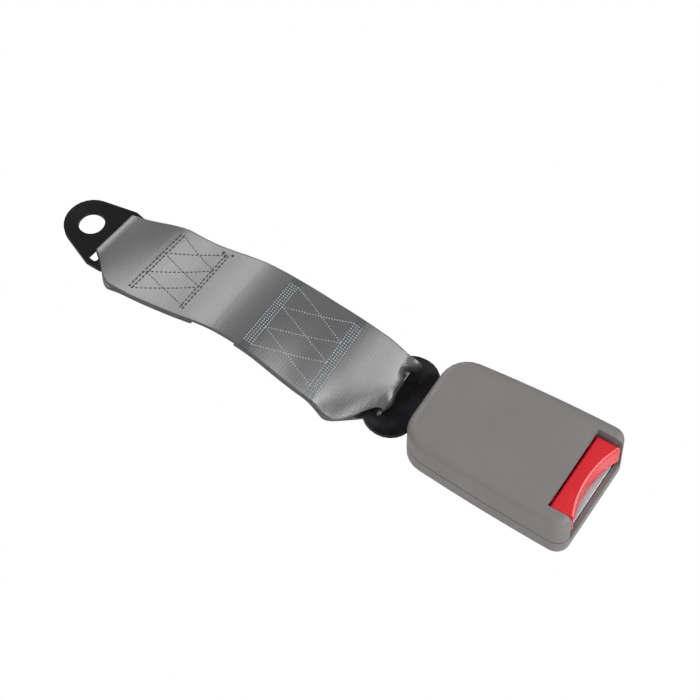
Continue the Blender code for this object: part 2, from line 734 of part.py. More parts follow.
def make_stitching(name, strap, row_places, spacing, count):
    """Thread laid on the top layer: joined flat as one net, then wrapped onto the webbing."""
    row_a, row_b = (strap.length_at(ANCHOR_X + place) for place in row_places)
    half = WEBBING_WIDTH / 2 - THREAD_MARGIN
    lines = row_lines(row_a, spacing, count, half) + row_lines(row_b, spacing, count, half)
    lines += zigzag_lines(row_a - spacing, row_b + spacing, half - THREAD_WIDTH)
    net = None
    for i, (start, end) in enumerate(lines):
        along = Vector(end) - Vector(start)
        middle = (Vector(end) + Vector(start)) / 2
        angle = math.atan2(along.y, along.x)
        # Each thread is a hair thicker than the last, so that no two faces lie in one plane.
        thick = THREAD_THICKNESS * (1 + 0.01 * i)
        bm = bmesh.new()
        bmesh.ops.create_cube(bm, size=1)
        size = Matrix.Diagonal((along.length + THREAD_WIDTH, THREAD_WIDTH, thick, 1))
        turned = Matrix.Translation((*middle, 0)) @ Matrix.Rotation(angle, 4, "Z") @ size
        bmesh.ops.transform(bm, matrix=turned, verts=bm.verts)
        thread = mesh_object(f"{name}_thread_{i}", bm)
        net = thread if net is None else add(net, thread)
    bpy.context.view_layer.update()
    mesh = bpy.data.meshes.new_from_object(net.evaluated_get(bpy.context.evaluated_depsgraph_get()))
    bpy.data.objects.remove(net)
    for i in range(1, len(lines)):
        bpy.data.objects.remove(bpy.data.objects[f"{name}_thread_{i}"])
    bm = bmesh.new()
    bm.from_mesh(mesh)
    for place in np.arange(row_a - 2 * spacing, row_b + 2 * spacing, 0.004):
        whole = bm.verts[:] + bm.edges[:] + bm.faces[:]
        bmesh.ops.bisect_plane(bm, geom=whole, dist=1e-6, plane_co=(place, 0, 0), plane_no=(1, 0, 0))
    lift = WEBBING_THICKNESS / 2 + GAP + THREAD_THICKNESS * 0.6
    for vert in bm.verts:
        vert.co = strap.point(vert.co.x, vert.co.y / (WEBBING_WIDTH / 2), vert.co.z + lift)
    return finish_part(mesh_object(name, bm))


def make_anchor_plate():
    """The bolt plate, in its own frame: its slot bar's middle is at the origin."""
    hole_x = -ANCHOR_HOLE_TO_BAR
    shoulder = ANCHOR_TIP_RADIUS / math.cos(ANCHOR_TAPER) + ANCHOR_SHOULDER * math.tan(ANCHOR_TAPER)
    end = shoulder - ANCHOR_END_NARROWING
    tip = []
    for i in range(13):
        angle = math.pi / 2 + ANCHOR_TAPER + (math.pi - 2 * ANCHOR_TAPER) * i / 12
        tip.append(
            (hole_x + ANCHOR_TIP_RADIUS * math.cos(angle), ANCHOR_TIP_RADIUS * math.sin(angle), 0)
        )
    rear = ANCHOR_BAR_WIDTH / 2
    corners = tip + [
        (hole_x + ANCHOR_SHOULDER, -shoulder, ANCHOR_SHOULDER_RADIUS),
        (rear, -end, ANCHOR_SHOULDER_RADIUS),
        (rear, end, ANCHOR_SHOULDER_RADIUS),
        (hole_x + ANCHOR_SHOULDER, shoulder, ANCHOR_SHOULDER_RADIUS),
    ]
    slot = rectangle(
        -rear - ANCHOR_SLOT_WIDTH,
        -rear,
        -ANCHOR_SLOT_HALF_LENGTH,
        ANCHOR_SLOT_HALF_LENGTH,
        0.0012,
    )
    outlines = [rounded_outline(corners), circle(hole_x, 0, BOLT_HOLE_RADIUS, 32), slot]
    anchor = plate("anchor_plate", outlines, ANCHOR_THICKNESS)
    bevel(anchor, 0.0003, 1)
    reach = ANCHOR_HOLE_TO_BAR + ANCHOR_TIP_RADIUS
    tilt = math.asin((ANCHOR_Z - ANCHOR_THICKNESS / 2) / reach)
    anchor.rotation_euler = (0, -tilt, ANCHOR_YAW)
    anchor.location = (ANCHOR_X, ANCHOR_SIDEWAYS, ANCHOR_Z)
    return finish_part(anchor)


def housing_outline(inset=0.0):
    """The buckle seen from above, narrower by the inset all round."""
    tail, mouth = TAIL_X + inset, MOUTH_X - inset
    sides = []
    for i in range(1, 6):
        share = i / 6
        bulge = SIDE_BULGE * 4 * share * (1 - share)
        half = TAIL_HALF_WIDTH + (MOUTH_HALF_WIDTH - TAIL_HALF_WIDTH) * share + bulge - inset
        sides.append((tail + (mouth - tail) * share, half))
    near = [(x, -half, 0) for x, half in sides[1:]]
    far = [(x, half, 0) for x, half in reversed(sides[1:])]
    tail_half, mouth_half = TAIL_HALF_WIDTH - inset, MOUTH_HALF_WIDTH - inset
    tail_radius, mouth_radius = TAIL_CORNER - inset, MOUTH_CORNER - inset
    corners = [(tail, -tail_half, tail_radius)] + near + [(mouth, -mouth_half, mouth_radius)]
    corners += [(mouth, mouth_half, mouth_radius)] + far + [(tail, tail_half, tail_radius)]
    return rounded_outline(corners, 6)


def top_height(x):
    """Height of the housing's top along its middle."""
    share = (x - TAIL_X) / BUCKLE_LENGTH
    return TAIL_HEIGHT + (MOUTH_HEIGHT - TAIL_HEIGHT) * share + TOP_CROWN * 4 * share * (1 - share)


def housing_side(bottom, drop):
    """The buckle seen from the side, with its top lowered by the drop."""
    ahead, behind = MOUTH_X + THROUGH, TAIL_X - THROUGH
    top = [Vector((x, top_height(x) - drop)) for x in np.linspace(MOUTH_X, TAIL_X, 9)]
    slope = (MOUTH_HEIGHT - TAIL_HEIGHT) / BUCKLE_LENGTH * THROUGH
    top = [Vector((ahead, MOUTH_HEIGHT - drop + slope))] + top
    top += [Vector((behind, TAIL_HEIGHT - drop - slope))]
    return [Vector((behind, bottom)), Vector((ahead, bottom))] + top


def housing_body(name):
    """The whole outside of the buckle, filled, with its edges rounded."""
    body = slab(name, [housing_outline()], 0, MOUTH_HEIGHT + THROUGH)
    side = upright_slab(f"{name}_side", [housing_side(0 - THROUGH, 0)], MOUTH_HALF_WIDTH + THROUGH)
    combine(body, side, "INTERSECT")
    bpy.context.view_layer.update()
    mesh = bpy.data.meshes.new_from_object(body.evaluated_get(bpy.context.evaluated_depsgraph_get()))
    for used in (body, side):
        bpy.data.objects.remove(used)
    bm = bmesh.new()
    bm.from_mesh(mesh)
    bmesh.ops.remove_doubles(bm, verts=bm.verts, dist=0.00001)
    for is_top, width, segments in ((True, TOP_FILLET, 4), (False, BOTTOM_FILLET, 2)):
        edges = []
        for edge in bm.edges:
            sharp = edge.is_manifold and edge.calc_face_angle() > math.radians(60)
            middle = (edge.verts[0].co.z + edge.verts[1].co.z) / 2
            if sharp and (middle > PARTING_HEIGHT) == is_top:
                edges.append(edge)
        bmesh.ops.bevel(
            bm, geom=edges, offset=width, segments=segments, profile=0.5, affect="EDGES", clamp_overlap=True
        )
    return mesh_object(name, bm)


def cut_housing(cover):
    """Cuts the room inside and the mouth, the tail opening and the screw holes from a cover."""
    name = cover.name
    room = slab(f"{name}_room", [housing_outline(WALL)], FLOOR_WALL, MOUTH_HEIGHT + THROUGH)
    ceiling = upright_slab(f"{name}_ceiling", [housing_side(0 - THROUGH, WALL)], MOUTH_HALF_WIDTH + THROUGH)
    combine(room, ceiling, "INTERSECT")
    for side in (-1, 1):
        inner, outer = sorted((side * CHEEK_CAVITY_HALF_WIDTH, side * (MOUTH_HALF_WIDTH + THROUGH)))
        low = (WINDOW_X - WALL, inner, -THROUGH)
        high = (MOUTH_X + THROUGH, outer, MOUTH_HEIGHT + THROUGH)
        cut(room, box(f"{name}_cheek_{side + 1}", low, high))
    for x, y in screw_places():
        if x < 0:
            cut(room, cylinder(f"{name}_boss_{y:.4f}", BOSS_RADIUS, (x, y, 0), (x, y, 2 * THROUGH)))
    cut(cover, room)
    low = (WINDOW_X, -WINDOW_HALF_WIDTH, LOWER_LIP_HEIGHT)
    cut(cover, box(f"{name}_window", low, (MOUTH_X + THROUGH, WINDOW_HALF_WIDTH, MOUTH_HEIGHT + THROUGH)))
    side = NECK_HALF_WIDTH + RUNNING_GAP
    low = (TAIL_X - THROUGH, -side, FRAME_HEIGHT - RUNNING_GAP)
    cut(cover, box(f"{name}_tail", low, (TAIL_X + 2 * WALL, side, FRAME_TOP + RUNNING_GAP)))


def screw_places():
    tail, mouth = TAIL_X + SCREW_TAIL_FROM_TAIL, MOUTH_X - SCREW_MOUTH_FROM_MOUTH
    return [
        (tail, -SCREW_TAIL_SIDEWAYS),
        (tail, SCREW_TAIL_SIDEWAYS),
        (mouth, -SCREW_MOUTH_SIDEWAYS),
        (mouth, SCREW_MOUTH_SIDEWAYS),
    ]


def screw_profile(name, x, y, grow, low, high):
    """A screw's shape, or its hole's, turned about its axis: the head is below."""
    head_top = SCREW_RECESS + SCREW_HEAD_HEIGHT + grow
    rows = [
        (0, high),
        (SCREW_SHANK_RADIUS + grow, high),
        (SCREW_SHANK_RADIUS + grow, head_top),
        (SCREW_HEAD_RADIUS + grow, head_top),
        (SCREW_HEAD_RADIUS + grow, low),
        (0, low),
    ]
    bm = bmesh.new()
    verts = [bm.verts.new((radius, 0, height)) for radius, height in rows]
    for a, b in zip(verts, verts[1:]):
        bm.edges.new((a, b))
    made = mesh_object(name, bm)
    made.location = (x, y, 0)
    turned = made.modifiers.new("turned", "SCREW")
    turned.steps = 16
    turned.render_steps = 16
    turned.use_merge_vertices = True
    turned.merge_threshold = 0.00001
    bpy.context.view_layer.update()
    return made


def make_screws():
    screws = []
    for i, (x, y) in enumerate(screw_places()):
        high = SCREW_RECESS + SCREW_LENGTH
        screw = screw_profile(f"cover_screw_{i + 1}", x, y, 0.0, SCREW_RECESS, high)
        screws.append(finish_part(screw, "cover_screw"))
    return screws


def make_covers():
    lower = housing_body("lower_cover")
    upper = housing_body("upper_cover")
    for cover in (lower, upper):
        cut_housing(cover)
        for i, (x, y) in enumerate(screw_places()):
            high = SCREW_RECESS + SCREW_LENGTH + GAP
            cut(cover, screw_profile(f"{cover.name}_screw_hole_{i}", x, y, GAP, -THROUGH, high))
    wide = BUCKLE_LENGTH
    half_gap = GAP / 2
    cut(lower, box("lower_cover_top", (-wide, -wide, PARTING_HEIGHT - half_gap), (wide, wide, wide)))
    cut(upper, box("upper_cover_bottom", (-wide, -wide, -wide), (wide, wide, PARTING_HEIGHT + half_gap)))
    rings = [housing_outline(-THROUGH), housing_outline(PARTING_GROOVE_DEPTH)]
    groove_top = PARTING_HEIGHT + half_gap + PARTING_GROOVE_HEIGHT
    cut(upper, slab("upper_cover_groove", rings, PARTING_HEIGHT - half_gap, groove_top))
    return finish_part(upper), finish_part(lower)


def frame_outline():
    """The frame's base and its round-ended tail plate, seen from above."""
    lobe = TAIL_PLATE_LOBE
    wide = TAIL_PLATE_HALF_WIDTH
    lobe_x = TAIL_END_X + 2 * lobe + RUNNING_GAP
    shoulder_x = FLANGE_REAR_X - FRAME_THICKNESS
    half = [
        (TAIL_END_X, wide, lobe),
        (lobe_x, wide, lobe * 0.95),
        (lobe_x, NECK_HALF_WIDTH, 0),
        (shoulder_x, NECK_HALF_WIDTH, 0),
        (shoulder_x, FRAME_HALF_WIDTH, FRAME_SHOULDER_RADIUS),
        (FLANGE_FRONT_X + FRAME_SHOULDER_RADIUS, FRAME_HALF_WIDTH, FRAME_FRONT_RADIUS),
        (FRAME_FRONT_X, CHEEK_CAVITY_HALF_WIDTH - FRAME_SHOULDER_RADIUS, FRAME_FRONT_RADIUS),
    ]
    return rounded_outline([(x, -y, r) for x, y, r in half] + list(reversed(half)), 6)


def make_frame():
    """The stamped steel channel: base, tail plate, two flanges and the ejector spring's tab."""
    slot_half = TAIL_SLOT_HALF_LENGTH
    tail_slot = rectangle(
        TAIL_END_X + TAIL_BAR_WIDTH, SLOT_FAR_X, -slot_half, slot_half, FRAME_SLOT_RADIUS
    )
    hook_front = PIN_X + LATCH_LENGTH
    window_half = LATCH_HALF_WIDTH + RUNNING_GAP
    hook_window = rectangle(
        hook_front - HOOK_LENGTH - 2 * HOOK_WINDOW_CLEARANCE,
        hook_front + HOOK_WINDOW_CLEARANCE,
        -window_half,
        window_half,
        HOOK_WINDOW_RADIUS,
    )
    frame = slab("buckle_frame", [frame_outline(), tail_slot, hook_window], FRAME_HEIGHT, FRAME_TOP)
    profile = rounded_outline(
        [
            (FLANGE_REAR_X, FRAME_HEIGHT + FRAME_THICKNESS / 2, 0),
            (FLANGE_FRONT_X, FRAME_HEIGHT + FRAME_THICKNESS / 2, 0),
            (FLANGE_FRONT_X, FLANGE_FRONT_HEIGHT, FLANGE_RADIUS),
            (0.0, FLANGE_MID_HEIGHT, 0),
            (FLANGE_REAR_X, FLANGE_REAR_HEIGHT, FLANGE_RADIUS),
        ]
    )
    pin_hole = circle(PIN_X, PIN_HEIGHT, PIN_RADIUS + GAP)
    bar_half = LOCK_BAR_LENGTH_X / 2 + RUNNING_GAP
    bar_slot = rectangle(
        LOCK_BAR_X - bar_half - BUTTON_TRAVEL,
        LOCK_BAR_X + bar_half,
        LOCK_BAR_HEIGHT - LOCK_BAR_THICKNESS / 2 - GAP,
        LOCK_BAR_HEIGHT + LOCK_BAR_THICKNESS / 2 + GAP,
    )
    bridge_hole = rectangle(
        BRIDGE_X - BRIDGE_THICKNESS / 2 - GAP,
        BRIDGE_X + BRIDGE_THICKNESS / 2 + GAP,
        BRIDGE_BOTTOM - GAP,
        BRIDGE_TOP + GAP,
    )
    for side, name in ((-1, "right"), (1, "left")):
        middle = side * (FRAME_HALF_WIDTH - FRAME_THICKNESS / 2)
        outlines = [profile, pin_hole, bar_slot, bridge_hole]
        add(frame, upright_slab(f"flange_{name}", outlines, FRAME_THICKNESS / 2, middle))
    low = (SPRING_TAB_X, -SPRING_TAB_HALF_WIDTH, FRAME_HEIGHT + FRAME_THICKNESS / 2)
    high = (SPRING_TAB_X + SPRING_TAB_THICKNESS, SPRING_TAB_HALF_WIDTH, FRAME_TOP + SPRING_TAB_HEIGHT)
    add(frame, box("spring_tab", low, high))
    return finish_part(frame)


def make_latch():
    """The hooked latch, in its own frame: its pin is at the origin and its arm runs along +X."""
    half = LATCH_THICKNESS / 2
    barrel = LATCH_BARREL
    corners = [
        (-barrel, -barrel, barrel * 0.95),
        (barrel, -barrel, 0.0008),
        (barrel + 0.0012, -half, 0),
        (LATCH_LENGTH - HOOK_LENGTH, -half, 0),
        (LATCH_LENGTH - HOOK_LENGTH, -half - HOOK_DEPTH, 0.0004),
        (LATCH_LENGTH, -half - HOOK_DEPTH, 0.0016),
        (LATCH_LENGTH, half, 0.0006),
        (barrel + 0.0012, half, 0),
        (barrel, barrel, 0.0008),
        (-barrel, barrel, barrel * 0.95),
    ]
    outlines = [rounded_outline(corners), circle(0, 0, PIN_RADIUS + GAP)]
    latch = plate("latch", outlines, 2 * LATCH_HALF_WIDTH, UPRIGHT)
    latch.location = (PIN_X, 0, PIN_HEIGHT)
    latch.rotation_euler = (0, -LATCH_RAISED, 0)
    return finish_part(latch)


def make_latch_pin():
    reach = FRAME_HALF_WIDTH + PIN_PROTRUSION
    pin = cylinder("latch_pin", PIN_RADIUS, (PIN_X, -reach, PIN_HEIGHT), (PIN_X, reach, PIN_HEIGHT))
    return finish_part(pin)


def make_lock_bar():
    reach = FRAME_HALF_WIDTH + PIN_PROTRUSION
    low = LOCK_BAR_HEIGHT - LOCK_BAR_THICKNESS / 2
    half = LOCK_BAR_LENGTH_X / 2
    outline = rectangle(LOCK_BAR_X - half, LOCK_BAR_X + half, low, low + LOCK_BAR_THICKNESS, 0.0008)
    return finish_part(upright_slab("lock_bar", [outline], reach))


def make_bridge():
    reach = FRAME_HALF_WIDTH + PIN_PROTRUSION / 2
    half = BRIDGE_THICKNESS / 2
    low = (BRIDGE_X - half, -reach, BRIDGE_BOTTOM)
    bridge = box("frame_bridge", low, (BRIDGE_X + half, reach, BRIDGE_TOP))
    return finish_part(bevel(bridge, 0.0003, 1))


def make_guide():
    """The pale insert that closes the gap between the frame's base and the lower cover's lip."""
    start = FRAME_FRONT_X + GAP
    low = (start, -GUIDE_HALF_WIDTH, FLOOR_WALL + GAP)
    guide = box("tongue_guide", low, (start + GUIDE_LENGTH, GUIDE_HALF_WIDTH, GUIDE_TOP))
    return finish_part(bevel(guide, 0.0004, 2))


def make_button():
    """The red press button: a block with a hollow front and two arms that push the lock bar."""
    wide = BUTTON_HALF_WIDTH
    radius = (wide**2 + BUTTON_HOLLOW**2) / (2 * BUTTON_HOLLOW)
    front = []
    for i in range(13):
        y = wide * (2 * i / 12 - 1)
        front.append(Vector((MOUTH_X - BUTTON_HOLLOW + radius - math.sqrt(radius**2 - y**2), y)))
    outline = [Vector((BUTTON_REAR_X, -wide))] + front + [Vector((BUTTON_REAR_X, wide))]
    button = slab("release_button", [outline], BUTTON_BOTTOM, MOUTH_HEIGHT + THROUGH)
    side = upright_slab("button_side", [housing_side(-THROUGH, BUTTON_BELOW_TOP)], wide + THROUGH)
    combine(button, side, "INTERSECT")
    bevel(button, BUTTON_EDGE, 2, 60)
    arm_top = LOCK_BAR_HEIGHT + BUTTON_ARM_THICKNESS / 2
    arm_rear = LOCK_BAR_X + LOCK_BAR_LENGTH_X / 2 + GAP
    for side_of, name in ((-1, "right"), (1, "left")):
        inner, outer = sorted((side_of * BUTTON_ARM_INNER, side_of * BUTTON_ARM_OUTER))
        low = (arm_rear, inner, arm_top - BUTTON_ARM_THICKNESS)
        add(button, box(f"button_arm_{name}", low, (BUTTON_REAR_X + 2 * WALL, outer, arm_top)))
    return finish_part(button)


def make_ejector():
    """The U-shaped slide under the latch that the tongue pushes back."""
    rear = EJECTOR_REAR_X
    wide, inner = EJECTOR_HALF_WIDTH, EJECTOR_ARM_INNER
    front = rear + EJECTOR_BRIDGE + EJECTOR_ARM_LENGTH
    corners = [
        (rear, -wide, 0.001),
        (front, -wide, 0.001),
        (front, -inner, 0.001),
        (rear + EJECTOR_BRIDGE, -inner, 0.001),
        (rear + EJECTOR_BRIDGE, inner, 0.001),
        (front, inner, 0.001),
        (front, wide, 0.001),
        (rear, wide, 0.001),
    ]
    bottom = FRAME_TOP + GAP
    ejector = slab("ejector", [rounded_outline(corners, 2)], bottom, bottom + EJECTOR_HEIGHT)
    return finish_part(ejector)


def make_spring(name, start_x, end_x, y, z, radius, wire, turns):
    """A coil along X, as a wire that follows a helix."""
    curve = bpy.data.curves.new(name, "CURVE")
    curve.dimensions = "3D"
    curve.bevel_depth = wire / 2
    curve.bevel_resolution = 2
    curve.use_fill_caps = True
    spline = curve.splines.new("POLY")
    count = turns * COIL_STEPS
    spline.points.add(count)
    start, end = start_x + wire / 2, end_x - wire / 2
    for i, point in enumerate(spline.points):
        angle = 2 * math.pi * i / COIL_STEPS
        along = start + (end - start) * i / count
        point.co = (along, y + radius * math.cos(angle), z + radius * math.sin(angle), 1)
    spring = bpy.data.objects.new(name, curve)
    bpy.context.scene.collection.objects.link(spring)
    return finish_part(spring)


def make_springs():
    height = (BRIDGE_BOTTOM + BRIDGE_TOP) / 2
    start = BRIDGE_X + BRIDGE_THICKNESS / 2 + GAP
    end = BUTTON_REAR_X - GAP
    springs = []
    for side, name in ((-1, "right"), (1, "left")):
        y = side * BUTTON_SPRING_SIDEWAYS
        springs.append(
            make_spring(
                f"button_spring_{name}",
                start,
                end,
                y,
                height,
                BUTTON_SPRING_RADIUS,
                BUTTON_SPRING_WIRE,
                BUTTON_SPRING_TURNS,
            )
        )
    height = FRAME_TOP + GAP + EJECTOR_SPRING_RADIUS + EJECTOR_SPRING_WIRE / 2
    springs.append(
        make_spring(
            "ejector_spring",
            SPRING_TAB_X + SPRING_TAB_THICKNESS + GAP,
            EJECTOR_REAR_X - GAP,
            0.0,
            height,
            EJECTOR_SPRING_RADIUS,
            EJECTOR_SPRING_WIRE,
            EJECTOR_SPRING_TURNS,
        )
    )
    return springs


def main():
    strap = Strap()
    make_webbing(strap)
    make_stitching("anchor_stitching", strap, ANCHOR_ROWS, ANCHOR_ROW_SPACING, 2)
    make_stitching("buckle_stitching", strap, BUCKLE_ROWS, BUCKLE_ROW_SPACING, 3)
    make_anchor_plate()
    swing = pivot_at("buckle_swing_axis", (BAR_X, 0, BAR_Z))
    button_slide = pivot_at("button_slide_axis", (BUTTON_REAR_X, 0, LOCK_BAR_HEIGHT), swing)
    bar_slide = pivot_at("lock_bar_slide_axis", (LOCK_BAR_X, 0, LOCK_BAR_HEIGHT), swing)
    ejector_slide = pivot_at("ejector_slide_axis", (EJECTOR_REAR_X, 0, FRAME_TOP), swing)
    for piece in (*make_covers(), *make_screws(), make_frame(), make_bridge(), make_guide()):
        hang_on(piece, swing)
    for piece in (make_latch_pin(), make_latch(), *make_springs()):
        hang_on(piece, swing)
    hang_on(make_button(), button_slide)
    hang_on(make_lock_bar(), bar_slide)
    hang_on(make_ejector(), ejector_slide)


main()
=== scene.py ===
"""Looks of the two-point seat belt's buckle half: webbing, thread, plastic and steel.

Metres, in the CAD part's frame: +X runs along the buckle to its mouth, +Z is up.
"""

import math
import random

import bmesh
import bpy
import numpy as np
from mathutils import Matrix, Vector


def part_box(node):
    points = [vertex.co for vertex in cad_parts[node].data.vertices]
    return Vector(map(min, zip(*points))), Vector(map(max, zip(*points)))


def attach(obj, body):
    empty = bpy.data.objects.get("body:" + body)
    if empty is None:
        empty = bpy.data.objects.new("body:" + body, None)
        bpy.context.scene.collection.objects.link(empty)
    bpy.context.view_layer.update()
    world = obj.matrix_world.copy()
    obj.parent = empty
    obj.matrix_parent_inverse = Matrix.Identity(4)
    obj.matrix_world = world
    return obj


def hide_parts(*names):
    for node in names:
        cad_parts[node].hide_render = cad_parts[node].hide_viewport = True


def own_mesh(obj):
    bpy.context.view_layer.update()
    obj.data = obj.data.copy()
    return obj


# Camera: the photograph's direction, and the point of the ground at its middle
LENS = 154.3
CAMERA_BACK = Vector((0.2687, -0.4217, 0.8660))
CAMERA_DISTANCE = 1.359
LOOKED_AT = Vector((-0.0901, 0.0102, 0.0))

# Light: distance of the two softboxes that light reflections only, and the world's strength
STRIP_DISTANCE = 1.5
WORLD_LIGHT = 0.35

# Webbing, as in the CAD part
WEBBING_WIDTH = 0.047
WEBBING_THICKNESS = 0.0012
LAYER_GAP = 0.0003
BAR_MIDDLE_HEIGHT = 0.00125
ANCHOR_BAR_WIDTH = 0.006
ANCHOR_SLOT_WIDTH = 0.0050
ANCHOR_YAW = math.radians(-8.2)
BAR_TO_BAR = 0.1409
TAIL_BAR_WIDTH = 0.0056
TAIL_SLOT_WIDTH = 0.0042
# Reach of the webbing to each side of its middle line where it passes each slot
ANCHOR_FAR_SIDE = 0.0122
ANCHOR_NEAR_SIDE = 0.0118
BUCKLE_FAR_SIDE = 0.0218
BUCKLE_NEAR_SIDE = 0.0055
# Length that the webbing takes to spread out again from each slot
ANCHOR_FAR_SPREAD = 0.032
ANCHOR_NEAR_SPREAD = 0.021
BUCKLE_TOP_SPREAD = 0.027
BUCKLE_TOP_NARROW = 0.009
BUCKLE_TAIL_SPREAD = 0.028
BUCKLE_TAIL_NARROW = 0.001
# Folds of the gathered webbing over the buckle's slot: share of the half width, depth, slope
BUCKLE_FOLDS = (
    (-1.00, 0.0006, 0.0),
    (-0.70, 0.0016, 0.0),
    (-0.20, 0.0000, 0.0),
    (0.10, 0.0000, 0.0),
    (0.53, -0.0028, 0.0),
    (0.90, 0.0028, 0.0),
)
FOLDS_ABOVE_SLOT = 0.0075
FOLDS_REACH = 0.0070
# Droop of the edge at -Y before the buckle's slot: share of the half width, depth, slope
BUCKLE_DROOP = (
    (-1.00, -0.0042, 0.010),
    (-0.50, -0.0009, 0.004),
    (0.00, 0.0000, 0.0),
)
DROOP_START = 0.038
DROOP_FULL = 0.024
DROOP_FADES = 0.014
DROOP_END = 0.005
ANCHOR_LOOP_HEIGHT = 0.0067
BUCKLE_CREST_DROP = 0.0012
BUCKLE_LOOP_AHEAD = 0.0008
BUCKLE_BULGE = 0.0031
BUCKLE_LOOP_CORNER = 0.0016
# Height and slope of the top layer, at shares of the way between the two slot bars
ARCH = (
    (0.00, 0.0075, 0.04),
    (0.10, 0.0081, 0.05),
    (0.13, 0.0087, 0.25),
    (0.30, 0.0168, 0.46),
    (0.45, 0.0262, 0.36),
    (0.60, 0.0286, -0.04),
    (0.75, 0.0260, -0.16),
    (0.90, 0.0224, -0.32),
    (1.00, 0.0170, -0.56),
)
# Sideways place and slope of the webbing's middle, at the same kind of shares
SWAY = (
    (0.00, 0.0004, -0.16),
    (0.30, -0.0045, -0.11),
    (0.60, -0.0069, -0.03),
    (0.90, -0.0090, 0.00),
    (1.00, -0.0084, 0.08),
)
# Roll in degrees that lifts the edge at -Y
ROLL = (
    (0.00, 0.0, 0.0),
    (0.15, 5.5, 35.0),
    (0.30, 9.5, 4.0),
    (0.60, 8.0, -18.0),
    (0.75, 1.7, -48.0),
    (0.90, -4.0, -20.0),
    (1.00, -5.0, 0.0),
)
# The roll fades out where the webbing turns down to the buckle's slot
ROLL_FADE_START = 0.75
ROLL_FADE_LENGTH = 0.15
ROLL_FADE_LOW = 0.006
ROLL_FADE_HIGH = 0.014

ANCHOR_ROWS = (0.0204, 0.0490)
BUCKLE_ROWS = (0.0862, 0.1212)
ANCHOR_TAIL_PAST_ROW = 0.0080
BUCKLE_TAIL_PAST_ROW = 0.0045
THREAD_MARGIN = 0.0042

# Fineness of the cloth's mesh and depth of its ribs
CLOTH_STEP = 0.0006
CLOTH_COLUMNS = 64
RIB_PITCH = 0.0008
WARP_PITCH = 0.0005
SELVAGE_WIDTH = 0.0016
SELVAGE_RISE = 0.00012
SELVAGE_SPREAD = 0.0005
RIB_DEPTH = 0.00016
RIB_STRENGTH = 0.34
# Share by which the cloth darkens under the dense bands of stitches: painted shade of the puckers there, with
# the teal tint of the thread
BAND_PAINTED_SHADE = 0.5

# Stitches: length of one stitch, the gap to the next, its radius, and the spacing of the rows
STITCH_LENGTH = 0.0022
STITCH_GAP = 0.0003
STITCH_RADIUS = 0.00040
ZIGZAG_STITCH_LENGTH = 0.0016
ZIGZAG_STITCH_GAP = 0.0006
ZIGZAG_STITCH_RADIUS = 0.00030
ANCHOR_ROW_SPACING = 0.0019
BAND_STITCH_LENGTH = 0.0008
BAND_STITCH_GAP = 0.0005
BAND_STITCH_RADIUS = 0.00038
BAND_SPACING = 0.0013
BAND_ROWS = 4
# Knots where the anchor's second row begins, at its edge at +Y
KNOT_LENGTH = 0.0014
KNOT_RADIUS = 0.00085
KNOT_PLACES = ((-0.0030, 0.0004), (-0.0008, -0.0012), (0.0028, 0.0006))

# Springs that a joint compresses, with that joint and its travel
SPRINGS = (
    ("button_spring_left", "button_press", 0.006),
    ("button_spring_right", "button_press", 0.006),
    ("ejector_spring", "ejector_slide", 0.012),
)


def linear(red, green, blue, alpha=1.0):
    """A colour as seen on screen, 0 to 255, as the shader wants it."""
    return (*((part / 255) ** 2.2 for part in (red, green, blue)), alpha)


class Nodes:
    """Short calls to build one material's nodes."""

    def __init__(self, name):
        self.material = bpy.data.materials.new(name)
        self.material.use_nodes = True
        self.tree = self.material.node_tree
        self.shader = self.tree.nodes["Principled BSDF"]
        self.output = self.tree.nodes["Material Output"]

    def add(self, kind, **values):
        node = self.tree.nodes.new(kind)
        for key, value in values.items():
            setattr(node, key, value)
        return node

    def link(self, start, end):
        self.tree.links.new(start, end)

    def set(self, **values):
        for key, value in values.items():
            self.shader.inputs[key.replace("_", " ")].default_value = value

    def coordinates(self, kind="Object"):
        return self.add("ShaderNodeTexCoord").outputs[kind]

    def noise(self, vector, scale, detail=3.0, roughness=0.55):
        node = self.add("ShaderNodeTexNoise")
        node.inputs["Scale"].default_value = scale
        node.inputs["Detail"].default_value = detail
        node.inputs["Roughness"].default_value = roughness
        self.link(vector, node.inputs["Vector"])
        return node.outputs["Fac"]

    def math(self, operation, first, second=None, third=None):
        node = self.add("ShaderNodeMath", operation=operation)
        for socket, value in zip(node.inputs, (first, second, third)):
            if value is None:
                continue
            if isinstance(value, (int, float)):
                socket.default_value = value
            else:
                self.link(value, socket)
        return node.outputs[0]

    def mix(self, fac, first, second, blend="MIX"):
        node = self.add("ShaderNodeMix", data_type="RGBA", blend_type=blend)
        for socket, value in ((node.inputs[0], fac), (node.inputs[6], first), (node.inputs[7], second)):
            if isinstance(value, (int, float, tuple)):
                socket.default_value = value
            else:
                self.link(value, socket)
        return node.outputs[2]

    def span(self, value, low, high, new_low=0.0, new_high=1.0):
        node = self.add("ShaderNodeMapRange")
        self.link(value, node.inputs["Value"])
        for key, number in zip(("From Min", "From Max", "To Min", "To Max"), (low, high, new_low, new_high)):
            node.inputs[key].default_value = number
        return node.outputs[0]

    def bump(self, height, strength, distance):
        node = self.add("ShaderNodeBump")
        node.inputs["Strength"].default_value = strength
        node.inputs["Distance"].default_value = distance
        self.link(height, node.inputs["Height"])
        self.link(node.outputs["Normal"], self.shader.inputs["Normal"])

    def to(self, output, socket):
        self.link(output, self.shader.inputs[socket])


